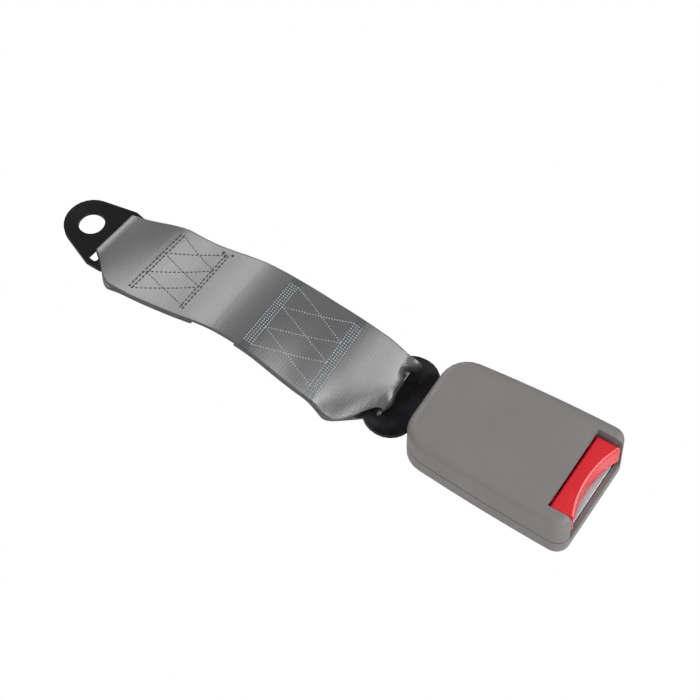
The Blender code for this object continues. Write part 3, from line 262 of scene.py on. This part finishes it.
def webbing_material(strap):
    """Grey satin webbing: ribs across, warp yarns along, dark selvages, and painted shade of the puckers,
    tinted like the teal thread, under the stitch bands.
    """
    m = Nodes("webbing_weave")
    uv = m.add("ShaderNodeUVMap", uv_map="cloth").outputs["UV"]
    parts = m.add("ShaderNodeSeparateXYZ")
    m.link(uv, parts.inputs[0])
    along, across = parts.outputs[0], parts.outputs[1]
    wander = m.math("MULTIPLY", m.noise(uv, 260.0, 2.0), 0.9)
    rib = m.math("SINE", m.math("ADD", m.math("MULTIPLY", along, 2 * math.pi / RIB_PITCH), wander))
    warp = m.math("SINE", m.math("MULTIPLY", across, 2 * math.pi / WARP_PITCH))
    offset = m.math("MULTIPLY", m.math("PINGPONG", m.math("DIVIDE", across, WARP_PITCH), 1.0), math.pi)
    float_line = m.math("MULTIPLY", along, math.pi / RIB_PITCH)
    floats = m.math("SINE", m.math("ADD", float_line, offset))
    weave = m.math("ADD", m.math("MULTIPLY", rib, 0.55), m.math("MULTIPLY", warp, 0.25))
    weave = m.math("ADD", weave, m.math("MULTIPLY", floats, 0.20))
    m.bump(m.span(weave, -1.0, 1.0), RIB_STRENGTH, RIB_DEPTH)
    blotch = m.noise(uv, 75.0, 3.0)
    yarn = m.noise(uv, 1500.0, 2.0)
    edge = m.math("ABSOLUTE", m.math("SUBTRACT", across, WEBBING_WIDTH / 2))
    line = m.span(edge, WEBBING_WIDTH / 2 - 0.0011, WEBBING_WIDTH / 2 - 0.0003)
    tone = m.mix(m.span(weave, -0.8, 0.8), linear(40, 41, 44), linear(96, 95, 94))
    tone = m.mix(m.span(blotch, 0.3, 0.7, 0.0, 0.25), tone, linear(74, 75, 80))
    tone = m.mix(m.span(yarn, 0.35, 0.75, 0.0, 0.30), tone, linear(108, 107, 105))
    tone = m.mix(m.math("MULTIPLY", line, 0.6), tone, linear(52, 54, 58))
    # Painted shade: under each dense band of stitches the cloth darkens towards a teal grey, for the shade of
    # its puckers and the thread's teal tint.
    for row in band_lengths(strap):
        band_painted_shade = m.math("COMPARE", along, row, BAND_SPACING * BAND_ROWS / 2)
        tone = m.mix(m.math("MULTIPLY", band_painted_shade, BAND_PAINTED_SHADE), tone, linear(40, 52, 55))
    m.to(tone, "Base Color")
    m.set(Roughness=0.27, Specular_IOR_Level=0.6, Sheen_Weight=0.03, Sheen_Roughness=0.4)
    return m.material


def thread_material(name, colour, shade):
    """Twisted sewing thread."""
    m = Nodes(name)
    uv = m.add("ShaderNodeUVMap", uv_map="thread").outputs["UV"]
    parts = m.add("ShaderNodeSeparateXYZ")
    m.link(uv, parts.inputs[0])
    turn = m.math("ADD", m.math("MULTIPLY", parts.outputs[0], 6.0), m.math("MULTIPLY", parts.outputs[1], 2.0))
    ply = m.span(m.math("SINE", m.math("MULTIPLY", turn, 2 * math.pi)), -1.0, 1.0)
    m.bump(ply, 0.4, 0.0001)
    m.to(m.mix(ply, shade, colour), "Base Color")
    m.set(Roughness=0.5, Sheen_Weight=0.2)
    return m.material


def moulded_material(name, colour, warm, roughness):
    """Moulded plastic with a fine spark grain and faint handling marks."""
    m = Nodes(name)
    place = m.coordinates("Object")
    spark = m.noise(place, 2600.0, 2.0, 0.6)
    cloud = m.noise(place, 38.0, 4.0)
    m.bump(spark, 0.22, 0.00012)
    m.to(m.mix(m.span(cloud, 0.3, 0.7), colour, warm), "Base Color")
    scuffs = m.noise(place, 220.0, 5.0, 0.7)
    m.to(m.span(scuffs, 0.3, 0.75, roughness - 0.05, roughness + 0.09), "Roughness")
    m.set(Specular_IOR_Level=0.35)
    return m.material


def button_material():
    """Red plastic, slightly glossy and slightly translucent."""
    m = Nodes("red_button_plastic")
    place = m.coordinates("Object")
    cloud = m.noise(place, 45.0, 3.0)
    m.to(m.mix(m.span(cloud, 0.3, 0.7), linear(206, 24, 36), linear(216, 36, 46)), "Base Color")
    ripple = m.noise(place, 160.0, 2.0)
    m.to(m.span(ripple, 0.3, 0.7, 0.24, 0.34), "Roughness")
    m.set(Specular_IOR_Level=0.3, Subsurface_Weight=0.12, Subsurface_Scale=0.002)
    m.set(Subsurface_Radius=(1.0, 0.25, 0.2))
    m.set(Coat_Weight=0.08, Coat_Roughness=0.25)
    return m.material


def black_steel_material():
    """Black coated steel, smooth, with a faint orange peel and slightly worn edges."""
    m = Nodes("black_coated_steel")
    place = m.coordinates("Object")
    peel = m.noise(place, 900.0, 2.0)
    cloud = m.noise(place, 60.0, 3.0)
    m.bump(peel, 0.06, 0.00006)
    edge = m.math("ABSOLUTE", m.math("SUBTRACT", m.add("ShaderNodeNewGeometry").outputs["Pointiness"], 0.5))
    worn = m.math("MULTIPLY", m.span(edge, 0.04, 0.14), m.span(cloud, 0.42, 0.6))
    base = m.mix(m.span(cloud, 0.3, 0.7), linear(17, 17, 19), linear(24, 24, 26))
    m.to(m.mix(m.math("MULTIPLY", worn, 0.4), base, linear(80, 80, 84)), "Base Color")
    m.to(m.span(cloud, 0.3, 0.7, 0.40, 0.50), "Roughness")
    m.set(Specular_IOR_Level=0.05)
    return m.material


def bare_steel_material(name, colour, roughness):
    """Stamped or drawn steel with fine lines."""
    m = Nodes(name)
    place = m.coordinates("Object")
    stretched = m.add("ShaderNodeMapping")
    stretched.inputs["Scale"].default_value = (60.0, 1400.0, 1400.0)
    m.link(place, stretched.inputs["Vector"])
    lines = m.noise(stretched.outputs[0], 1.0, 3.0)
    m.bump(lines, 0.12, 0.00005)
    m.to(m.mix(m.span(lines, 0.3, 0.7), colour, linear(150, 150, 152)), "Base Color")
    m.to(m.span(lines, 0.3, 0.7, roughness - 0.06, roughness + 0.08), "Roughness")
    m.set(Metallic=1.0)
    return m.material


def smooth_step(value):
    value = np.clip(value, 0.0, 1.0)
    return value * value * (3 - 2 * value)


def curve_through(knots, at):
    """Values at places, from (place, value, slope) knots, straight outside them."""
    at = np.asarray(at, dtype=float)
    first, last = knots[0], knots[-1]
    before = first[1] + first[2] * (at - first[0])
    after = last[1] + last[2] * (at - last[0])
    values = np.where(at < first[0], before, after)
    for (x0, y0, m0), (x1, y1, m1) in zip(knots, knots[1:]):
        span = x1 - x0
        t = np.clip((at - x0) / span, 0, 1)
        inside = (at >= x0) & (at <= x1)
        start = (1 + 2 * t) * (1 - t) ** 2 * y0 + t * (1 - t) ** 2 * span * m0
        end = t * t * (3 - 2 * t) * y1 - t * t * (1 - t) * span * m1
        values = np.where(inside, start + end, values)
    return values


class Strap:
    """The webbing's surface, as a map from its length, width and thickness to the world."""

    def __init__(self, frame_box, anchor_x):
        """frame_box is the buckle frame's box: the strap's loop goes round the bar at its tail."""
        low = frame_box[0]
        self.tail_end = low.x
        self.bar_x = low.x + TAIL_BAR_WIDTH / 2
        self.bar_z = low.z + BAR_MIDDLE_HEIGHT
        self.anchor_x = anchor_x
        self.arch = self.knots(ARCH)
        self.sway = self.knots(SWAY)
        self.rolls = [(anchor_x + s * BAR_TO_BAR, v, m / BAR_TO_BAR) for s, v, m in ROLL]
        self.line = self.rounded_path(self.profile(), 3)
        steps = np.linalg.norm(np.diff(self.line, axis=0), axis=1)
        self.along = np.concatenate([[0], np.cumsum(steps)])
        self.length = self.along[-1]
        tangent = np.gradient(self.line, self.along, axis=0)
        tangent /= np.linalg.norm(tangent, axis=1)[:, None]
        self.normal = np.stack([-tangent[:, 1], tangent[:, 0]], axis=1)
        self.anchor_slot = self.along[np.argmin(self.line[:, 0])]
        near_buckle = self.line[:, 0] > self.bar_x
        crossing = np.abs(self.line[:, 1] - self.bar_z) + np.where(near_buckle, 0, 1)
        self.buckle_slot = self.along[np.argmin(crossing)]
        self.top_start = int(np.argmin(self.line[:, 0]))
        self.top_end = int(np.argmax(self.line[:, 0]))

    def knots(self, knots):
        return [(self.anchor_x + share * BAR_TO_BAR, value, slope) for share, value, slope in knots]

    def height(self, x):
        return float(curve_through(self.arch, x))

    def under_top(self, x):
        """A point of the lower layer, one webbing and a gap under the top layer."""
        ahead = 0.0005
        lean = math.atan((self.height(x + ahead) - self.height(x - ahead)) / (2 * ahead))
        step = WEBBING_THICKNESS + LAYER_GAP
        return (x + step * math.sin(lean), self.height(x) - step * math.cos(lean))

    @staticmethod
    def spaced(start, end, step):
        return np.linspace(start, end, max(2, round(abs(end - start) / step) + 1))

    def profile(self):
        """The webbing's middle line in X and Z, from the tail at the anchor to the tail at the buckle."""
        floor = WEBBING_THICKNESS / 2
        loop = ANCHOR_LOOP_HEIGHT / 2
        anchor_z = floor + loop
        turn_x = self.anchor_x - ANCHOR_BAR_WIDTH / 2 - ANCHOR_SLOT_WIDTH + LAYER_GAP * 2 + floor + loop
        tail_start = self.anchor_x + ANCHOR_ROWS[1] + ANCHOR_TAIL_PAST_ROW
        join = self.anchor_x + ANCHOR_ROWS[0] - 0.003
        points = [self.under_top(x) for x in self.spaced(tail_start, join, 0.009)]
        points += [
            (self.anchor_x + 0.0105, floor + 0.0033),
            (self.anchor_x + 0.0045, floor + 0.0005),
            (self.anchor_x, floor),
        ]
        for angle in (270, 225, 180, 135, 90):
            turn = math.radians(angle)
            points.append((turn_x + loop * math.cos(turn), anchor_z + loop * math.sin(turn)))
        last_top = self.bar_x - 0.004
        points += [(x, self.height(x)) for x in self.spaced(self.anchor_x, last_top, 0.0095)]
        front_x = self.tail_end + TAIL_BAR_WIDTH + TAIL_SLOT_WIDTH / 2 + BUCKLE_LOOP_AHEAD
        crest = self.height(self.bar_x) - BUCKLE_CREST_DROP
        drop = crest - self.bar_z
        bulge = BUCKLE_BULGE
        corner = BUCKLE_LOOP_CORNER
        points += [
            (front_x + bulge - 0.0046, crest),
            (front_x + bulge - 0.0010, crest - drop * 0.20),
            (front_x + bulge, crest - drop * 0.40),
            (front_x + bulge * 0.4, crest - drop * 0.60),
            (front_x, crest - drop * 0.78),
            (front_x, self.bar_z - 0.0010),
            (front_x - corner * 0.3, floor + corner),
            (front_x - corner * 1.3, floor + corner * 0.1),
            (front_x - corner * 3, floor),
            (self.bar_x - 0.0035, floor + 0.0008),
            (self.bar_x - 0.0078, floor + 0.0058),
            (self.bar_x - 0.0128, floor + 0.0142),
        ]
        join = self.anchor_x + BUCKLE_ROWS[1] + 0.001
        tail_end = self.anchor_x + BUCKLE_ROWS[0] - BUCKLE_TAIL_PAST_ROW
        points += [self.under_top(x) for x in self.spaced(join, tail_end, 0.009)]
        return np.array(points)

    @staticmethod
    def rounded_path(points, per_span):
        """A smooth line through the points, with the same number of steps between each two."""
        ends = np.vstack([2 * points[0] - points[1], points, 2 * points[-1] - points[-2]])
        line = []
        for a, b, c, d in zip(ends, ends[1:], ends[2:], ends[3:]):
            for i in range(per_span):
                t = i / per_span
                square = (2 * a - 5 * b + 4 * c - d) * t**2
                line.append(0.5 * (2 * b + (c - a) * t + square + (3 * b - a - 3 * c + d) * t**3))
        line.append(points[-1])
        return np.array(line)

    def length_at(self, x):
        """Length along the webbing at which the top layer passes an X."""
        top = slice(self.top_start, self.top_end + 1)
        return float(np.interp(x, self.line[top, 0], self.along[top]))

    @staticmethod
    def spread(distance, narrow, reach):
        """How far the webbing has spread out at a distance from a slot, 0 to 1."""
        return smooth_step((np.abs(distance) - narrow) / (reach - narrow))

    def sides(self, at):
        """How far the webbing reaches to +Y and to -Y of its middle line at a length."""
        full = WEBBING_WIDTH / 2
        past = at - self.anchor_slot
        far_at_anchor = self.spread(past, 0.0, ANCHOR_FAR_SPREAD)
        near_at_anchor = self.spread(past, 0.0, ANCHOR_NEAR_SPREAD)
        past = at - self.buckle_slot
        on_top = self.spread(past, BUCKLE_TOP_NARROW, BUCKLE_TOP_SPREAD)
        on_tail = self.spread(past, BUCKLE_TAIL_NARROW, BUCKLE_TAIL_SPREAD)
        at_buckle = np.where(past < 0, on_top, on_tail)
        far = full - (full - ANCHOR_FAR_SIDE) * (1 - far_at_anchor)
        near = full - (full - ANCHOR_NEAR_SIDE) * (1 - near_at_anchor)
        far = far - (full - BUCKLE_FAR_SIDE) * (1 - at_buckle)
        near = near - (full - BUCKLE_NEAR_SIDE) * (1 - at_buckle)
        return far, near

    def roll_at(self, x, z):
        share = (x - self.anchor_x) / BAR_TO_BAR
        low = 1 - smooth_step((z - ROLL_FADE_LOW) / (ROLL_FADE_HIGH - ROLL_FADE_LOW))
        faded = low * smooth_step((share - ROLL_FADE_START) / ROLL_FADE_LENGTH)
        held = curve_through(self.rolls, np.minimum(x, self.rolls[-1][0]))
        return np.where(x > self.anchor_x, np.radians(held) * (1 - faded), 0.0)

    def points(self, at, share, out):
        """World places at lengths, shares of the half width and heights over the mid-surface."""
        at, share, out = np.broadcast_arrays(at, share, out)
        x, z = (np.interp(at, self.along, self.line[:, k]) for k in (0, 1))
        nx, nz = (np.interp(at, self.along, self.normal[:, k]) for k in (0, 1))
        far, near = self.sides(at)
        across = share * (far + near) / 2 + (far - near) / 2
        from_folds = (at - self.buckle_slot + FOLDS_ABOVE_SLOT) / FOLDS_REACH
        out = out + curve_through(BUCKLE_FOLDS, share) * (1 - smooth_step(np.abs(from_folds)))
        before = self.buckle_slot - at
        starts = smooth_step((DROOP_START - before) / (DROOP_START - DROOP_FULL))
        ends = smooth_step((before - DROOP_END) / (DROOP_FADES - DROOP_END))
        out = out + curve_through(BUCKLE_DROOP, share) * starts * ends
        roll = self.roll_at(x, z)
        centre_z = curve_through(self.arch, x)
        rise = z + nz * out - centre_z
        side = across * np.cos(roll) + rise * np.sin(roll)
        height = centre_z + rise * np.cos(roll) - across * np.sin(roll)
        heading = ANCHOR_YAW * (1 - smooth_step((x - self.anchor_x) / (BAR_TO_BAR / 3)))
        ahead = nx * out
        world_x = x + ahead * np.cos(heading) - side * np.sin(heading)
        sway = curve_through(self.sway, x)
        world_y = sway + ahead * np.sin(heading) + side * np.cos(heading)
        return np.stack([world_x, world_y, height], axis=-1)


def mesh_object(name, vertices, faces, material, uvs=None, uv_name="cloth"):
    """A mesh with its material, and with a UV pair for each vertex."""
    mesh = bpy.data.meshes.new(name)
    mesh.from_pydata([tuple(v) for v in vertices], [], faces)
    mesh.materials.append(material)
    if uvs is not None:
        layer = mesh.uv_layers.new(name=uv_name)
        indices = np.empty(len(mesh.loops), dtype=np.int32)
        mesh.loops.foreach_get("vertex_index", indices)
        layer.data.foreach_set("uv", np.asarray(uvs, dtype=np.float32)[indices].ravel())
    mesh.validate()
    mesh.shade_smooth()
    made = bpy.data.objects.new(name, mesh)
    bpy.context.scene.collection.objects.link(made)
    return made


def grid_faces(rows, columns, start=0, flip=False):
    faces = []
    for r in range(rows - 1):
        for c in range(columns - 1):
            a = start + r * columns + c
            quad = (a, a + 1, a + columns + 1, a + columns)
            faces.append(quad[::-1] if flip else quad)
    return faces


def make_webbing(strap, material):
    """The woven strap as one closed sheet: two faces, rounded selvages and two cut ends."""
    rows = int(strap.length / CLOTH_STEP) + 1
    at = np.linspace(0, strap.length, rows)[:, None]
    share = np.linspace(-1, 1, CLOTH_COLUMNS)[None, :]
    flat_across = share * WEBBING_WIDTH / 2
    from_edge = WEBBING_WIDTH / 2 - np.abs(flat_across)
    thinning = np.clip(from_edge / (WEBBING_THICKNESS * 0.6), 0, 1)
    thick = WEBBING_THICKNESS / 2 * np.sqrt(1 - (1 - thinning) ** 2 * 0.9)
    from_selvage = (from_edge - SELVAGE_WIDTH / 2) / SELVAGE_SPREAD
    thick = thick + SELVAGE_RISE * np.exp(-(from_selvage**2)) * (thinning > 0.5)
    upper = strap.points(at, share, thick)
    lower = strap.points(at, share, -thick)
    shape = upper.shape[:2]
    uv = np.stack(np.broadcast_arrays(at, flat_across + WEBBING_WIDTH / 2), axis=-1).reshape(-1, 2)
    vertices = np.concatenate([upper.reshape(-1, 3), lower.reshape(-1, 3)])
    count, columns = shape[0] * shape[1], shape[1]
    faces = grid_faces(rows, columns, 0, True) + grid_faces(rows, columns, count, False)
    for r in range(rows - 1):
        a, b = r * columns, (r + 1) * columns
        faces.append((a, b, b + count, a + count))
        a, b = a + columns - 1, b + columns - 1
        faces.append((a + count, b + count, b, a))
    for c in range(columns - 1):
        faces.append((c, c + count, c + 1 + count, c + 1))
        last = (rows - 1) * columns + c
        faces.append((last + 1, last + 1 + count, last + count, last))
    made = mesh_object("webbing", vertices, faces, material, np.concatenate([uv, uv]))
    bm = bmesh.new()
    bm.from_mesh(made.data)
    bmesh.ops.recalc_face_normals(bm, faces=bm.faces)
    bm.to_mesh(made.data)
    bm.free()
    return made


def stitch_shape():
    """One stitch as unit rings: it dives into the cloth at both ends."""
    rings, sides = 7, 8
    places, faces = [], []
    for i in range(rings):
        t = i / (rings - 1)
        swell = math.sqrt(max(0.0, 1 - (2 * t - 1) ** 4)) * 0.85 + 0.15
        lift = math.sin(math.pi * t) ** 0.5 if 0 < t < 1 else 0.0
        for k in range(sides):
            turn = 2 * math.pi * k / sides
            places.append((t - 0.5, swell * math.cos(turn), swell * math.sin(turn), lift))
    for i in range(rings - 1):
        for k in range(sides):
            a, b = i * sides + k, i * sides + (k + 1) % sides
            faces.append((a, b, b + sides, a + sides))
    faces.append(tuple(range(sides))[::-1])
    faces.append(tuple(range((rings - 1) * sides, rings * sides)))
    return np.array(places), faces


def stitches_along(start, end, length, gap):
    """Middle points and directions of the stitches on one straight seam of the flat cloth."""
    start, end = np.array(start), np.array(end)
    whole = np.linalg.norm(end - start)
    direction = (end - start) / whole
    count = max(1, int(round((whole + gap) / (length + gap))))
    pitch = (whole + gap) / count
    return [(start + direction * (pitch * (i + 0.5) - gap / 2), direction, pitch - gap) for i in range(count)]


def make_stitches(name, strap, groups, material, seed):
    """All stitches of a sewn patch, wrapped on the top layer as one piece.

    A group is seams of one kind, with their stitches' length, gap and radius.
    """
    random_one = random.Random(seed)
    unit, unit_faces = stitch_shape()
    vertices, faces, uvs = [], [], []
    seams = [(*seam, *kind) for lines, *kind in groups for seam in lines]
    for start, end, length, gap, radius in seams:
        for middle, direction, long in stitches_along(start, end, length, gap):
            turn = random_one.uniform(-0.10, 0.10)
            c, s = math.cos(turn), math.sin(turn)
            ahead = np.array([c * direction[0] - s * direction[1], s * direction[0] + c * direction[1]])
            side = np.array([-ahead[1], ahead[0]])
            thick = radius * random_one.uniform(0.88, 1.12)
            flat = middle + unit[:, :1] * long * ahead + unit[:, 1:2] * thick * side
            lift = WEBBING_THICKNESS / 2 - thick * 0.9 + unit[:, 3] * thick * 0.9 + unit[:, 2] * thick
            base = len(vertices)
            vertices.extend(strap.points(flat[:, 0], flat[:, 1] / (WEBBING_WIDTH / 2), lift))
            faces.extend(tuple(base + i for i in face) for face in unit_faces)
            uvs.extend(np.stack([unit[:, 0] * long / 0.002, unit[:, 1]], axis=1))
    return mesh_object(name, vertices, faces, material, uvs, "thread")


def band_lengths(strap):
    return [strap.length_at(strap.anchor_x + place) for place in BUCKLE_ROWS]


def row_seams(middle, spacing, count, half):
    places = [middle + spacing * (i - (count - 1) / 2) for i in range(count)]
    return [((place, -half), (place, half)) for place in places]


def zigzag_seams(row_a, row_b, half):
    """The two crossing zigzags between stitch rows."""
    first = [(row_a, half), (row_b, 0.4 * half), (row_a, -0.4 * half), (row_b, -0.9 * half)]
    second = [(row_a, -half), (row_b, -0.2 * half), (row_a, 0.3 * half), (row_b, half)]
    return list(zip(first, first[1:])) + list(zip(second, second[1:]))


def knot_seams(row, edge):
    """One short stitch for each knot, at its place from the row's end."""
    seams = []
    for along, out in KNOT_PLACES:
        start = row + along - KNOT_LENGTH / 2
        seams.append(((start, edge + out), (start + KNOT_LENGTH, edge + out)))
    return seams


def make_sewing(strap, threads):
    """The two sewn patches: double rows at the anchor's end and dense bands at the buckle's."""
    half = WEBBING_WIDTH / 2 - THREAD_MARGIN
    row_a, row_b = (strap.length_at(strap.anchor_x + place) for place in ANCHOR_ROWS)
    rows = row_seams(row_a, ANCHOR_ROW_SPACING, 2, half) + row_seams(row_b, ANCHOR_ROW_SPACING, 2, half)
    dark = [
        (rows, STITCH_LENGTH, STITCH_GAP, STITCH_RADIUS),
        (zigzag_seams(row_a, row_b, half), ZIGZAG_STITCH_LENGTH, ZIGZAG_STITCH_GAP, ZIGZAG_STITCH_RADIUS),
        (knot_seams(row_b, half), KNOT_LENGTH, STITCH_GAP, KNOT_RADIUS),
    ]
    row_a, row_b = band_lengths(strap)
    rows = row_seams(row_a, BAND_SPACING, BAND_ROWS, half) + row_seams(row_b, BAND_SPACING, BAND_ROWS, half)
    inner_a, inner_b = row_a + BAND_SPACING * 1.5, row_b - BAND_SPACING * 1.5
    pale = [
        (rows, BAND_STITCH_LENGTH, BAND_STITCH_GAP, BAND_STITCH_RADIUS),
        (zigzag_seams(inner_a, inner_b, half), BAND_STITCH_LENGTH, BAND_STITCH_GAP, BAND_STITCH_RADIUS * 0.8),
    ]
    dark = make_stitches("anchor_sewing", strap, dark, threads[0], 11)
    pale = make_stitches("buckle_sewing", strap, pale, threads[1], 12)
    return dark, pale


def dress(frame):
    """Gives every CAD node that stays in view its own finish."""
    nodes = frame["nodes"]
    black = black_steel_material()
    housing = moulded_material("housing_grain", linear(119, 115, 114), linear(113, 109, 109), 0.5)
    inner = bare_steel_material("inner_steel", linear(140, 140, 142), 0.34)
    wire = bare_steel_material("spring_wire", linear(160, 160, 162), 0.28)
    zinc = bare_steel_material("zinc_plate", linear(170, 168, 160), 0.3)
    looks = {
        "anchor_plate": black,
        "buckle_frame": black,
        "upper_cover": housing,
        "lower_cover": housing,
        "release_button": button_material(),
        # Painted light: the tongue guide's pale grey stands in for the brightly lit lip of the mouth.
        "tongue_guide": moulded_material("guide_painted_light", linear(214, 217, 222), linear(204, 206, 210), 0.42),
        "frame_bridge": inner,
        "latch": inner,
        "latch_pin": inner,
        "lock_bar": inner,
        "ejector": moulded_material("black_ejector", linear(40, 40, 42), linear(34, 34, 36), 0.5),
        "button_spring_left": wire,
        "button_spring_right": wire,
        "ejector_spring": wire,
    }
    looks.update({f"cover_screw_{i}": zinc for i in range(1, 5)})
    for name, look in looks.items():
        for slot in nodes[name].material_slots:
            slot.material = look


def make_springs(frame):
    """Copies of the coil springs, each with its own mesh, put in place of the CAD nodes and attached to the
    buckle's body.
    """
    for name, joint, travel in SPRINGS:
        node = frame["nodes"][name]
        spring = bpy.data.objects.new(name + "_coil", node.data.copy())
        bpy.context.scene.collection.objects.link(spring)
        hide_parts(name)
        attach(spring, "buckle")
        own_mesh(spring)


def aim(obj, target):
    obj.rotation_euler = (Vector(target) - obj.location).to_track_quat("-Z", "Y").to_euler()


def add_softbox(name, place, target, size, power):
    lamp = bpy.data.lights.new(name, "AREA")
    lamp.shape = "RECTANGLE"
    lamp.size, lamp.size_y = size
    lamp.energy = power
    made = bpy.data.objects.new(name, lamp)
    made.location = place
    bpy.context.scene.collection.objects.link(made)
    aim(made, target)
    return made


def light_studio():
    """Two softboxes for the satin's highlights, a soft top light and a light towards the mouth."""
    middle = LOOKED_AT
    strips = (
        ("left_strip", Vector((-0.78, 0.46, 0.42)), (1.00, 0.80), 14.0),
        ("right_strip", Vector((0.55, 0.42, 0.72)), (1.00, 0.86), 30.0),
    )
    for name, towards, size, power in strips:
        strip = add_softbox(name, middle + towards.normalized() * STRIP_DISTANCE, middle, size, power)
        strip.visible_diffuse = False
    top = add_softbox("top", middle + Vector((0.1, -0.5, 1.3)), middle, (1.0, 0.8), 11.0)
    top.visible_glossy = False
    add_softbox("mouth", middle + Vector((1.25, -0.35, 0.36)), middle, (0.5, 0.4), 9.0)


def seen_directly(tree):
    """1 for rays of the camera, mirrors and glass, which all see the background as white."""
    path = tree.nodes.new("ShaderNodeLightPath")
    seen = path.outputs["Is Camera Ray"]
    for name in ("Is Glossy Ray", "Is Transmission Ray"):
        either = tree.nodes.new("ShaderNodeMath")
        either.operation = "MAXIMUM"
        tree.links.new(seen, either.inputs[0])
        tree.links.new(path.outputs[name], either.inputs[1])
        seen = either.outputs[0]
    return seen


def make_world():
    world = bpy.data.worlds.new("studio")
    world.use_nodes = True
    bpy.context.scene.world = world
    tree = world.node_tree
    background = tree.nodes["Background"]
    background.inputs["Color"].default_value = (1, 1, 1, 1)
    strength = tree.nodes.new("ShaderNodeMapRange")
    strength.inputs["To Min"].default_value = WORLD_LIGHT
    strength.inputs["To Max"].default_value = 1.0
    tree.links.new(seen_directly(tree), strength.inputs["Value"])
    tree.links.new(strength.outputs[0], background.inputs["Strength"])


def make_floor():
    """A pale floor that the camera sees as white."""
    bpy.ops.mesh.primitive_plane_add(size=8, location=(0, 0, -0.0002))
    floor = bpy.context.object
    floor.name = "floor"
    made = bpy.data.materials.new("floor_white")
    made.use_nodes = True
    tree = made.node_tree
    shader = tree.nodes["Principled BSDF"]
    shader.inputs["Base Color"].default_value = (0.8, 0.8, 0.8, 1)
    shader.inputs["Roughness"].default_value = 0.9
    glow = tree.nodes.new("ShaderNodeEmission")
    glow.inputs["Strength"].default_value = 1.0
    mixed = tree.nodes.new("ShaderNodeMixShader")
    tree.links.new(seen_directly(tree), mixed.inputs[0])
    tree.links.new(shader.outputs[0], mixed.inputs[1])
    tree.links.new(glow.outputs[0], mixed.inputs[2])
    tree.links.new(mixed.outputs[0], tree.nodes["Material Output"].inputs["Surface"])
    floor.data.materials.append(made)


def make_camera():
    data = bpy.data.cameras.new("camera")
    data.lens = LENS
    data.sensor_width = 36
    camera = bpy.data.objects.new("camera", data)
    bpy.context.scene.collection.objects.link(camera)
    camera.location = LOOKED_AT + CAMERA_BACK * CAMERA_DISTANCE
    camera.rotation_mode = "QUATERNION"
    camera.rotation_quaternion = (-CAMERA_BACK).to_track_quat("-Z", "Y")
    data.clip_end = 20
    bpy.context.scene.camera = camera


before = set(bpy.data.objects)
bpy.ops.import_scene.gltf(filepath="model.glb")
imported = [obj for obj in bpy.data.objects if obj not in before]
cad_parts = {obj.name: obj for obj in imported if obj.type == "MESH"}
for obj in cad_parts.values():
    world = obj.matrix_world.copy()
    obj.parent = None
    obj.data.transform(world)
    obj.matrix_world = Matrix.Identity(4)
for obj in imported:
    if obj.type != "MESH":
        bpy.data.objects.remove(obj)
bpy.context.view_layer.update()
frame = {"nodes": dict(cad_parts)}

frame_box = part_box("buckle_frame")
tail_bar_x = frame_box[0].x + TAIL_BAR_WIDTH / 2
strap = Strap(frame_box, tail_bar_x - BAR_TO_BAR)
webbing = make_webbing(strap, webbing_material(strap))
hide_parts("webbing_strap")
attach(webbing, "webbing")
dark_thread = thread_material("dark_thread_ply", linear(22, 31, 33), linear(10, 14, 16))
pale_thread = thread_material("pale_thread_ply", linear(186, 196, 198), linear(112, 130, 134))
anchor_sewing, buckle_sewing = make_sewing(strap, (dark_thread, pale_thread))
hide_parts("anchor_stitching")
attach(anchor_sewing, "webbing")
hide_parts("buckle_stitching")
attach(buckle_sewing, "webbing")
dress(frame)
make_springs(frame)
make_world()
make_floor()
light_studio()
make_camera()
bpy.context.scene.view_settings.view_transform = "Standard"
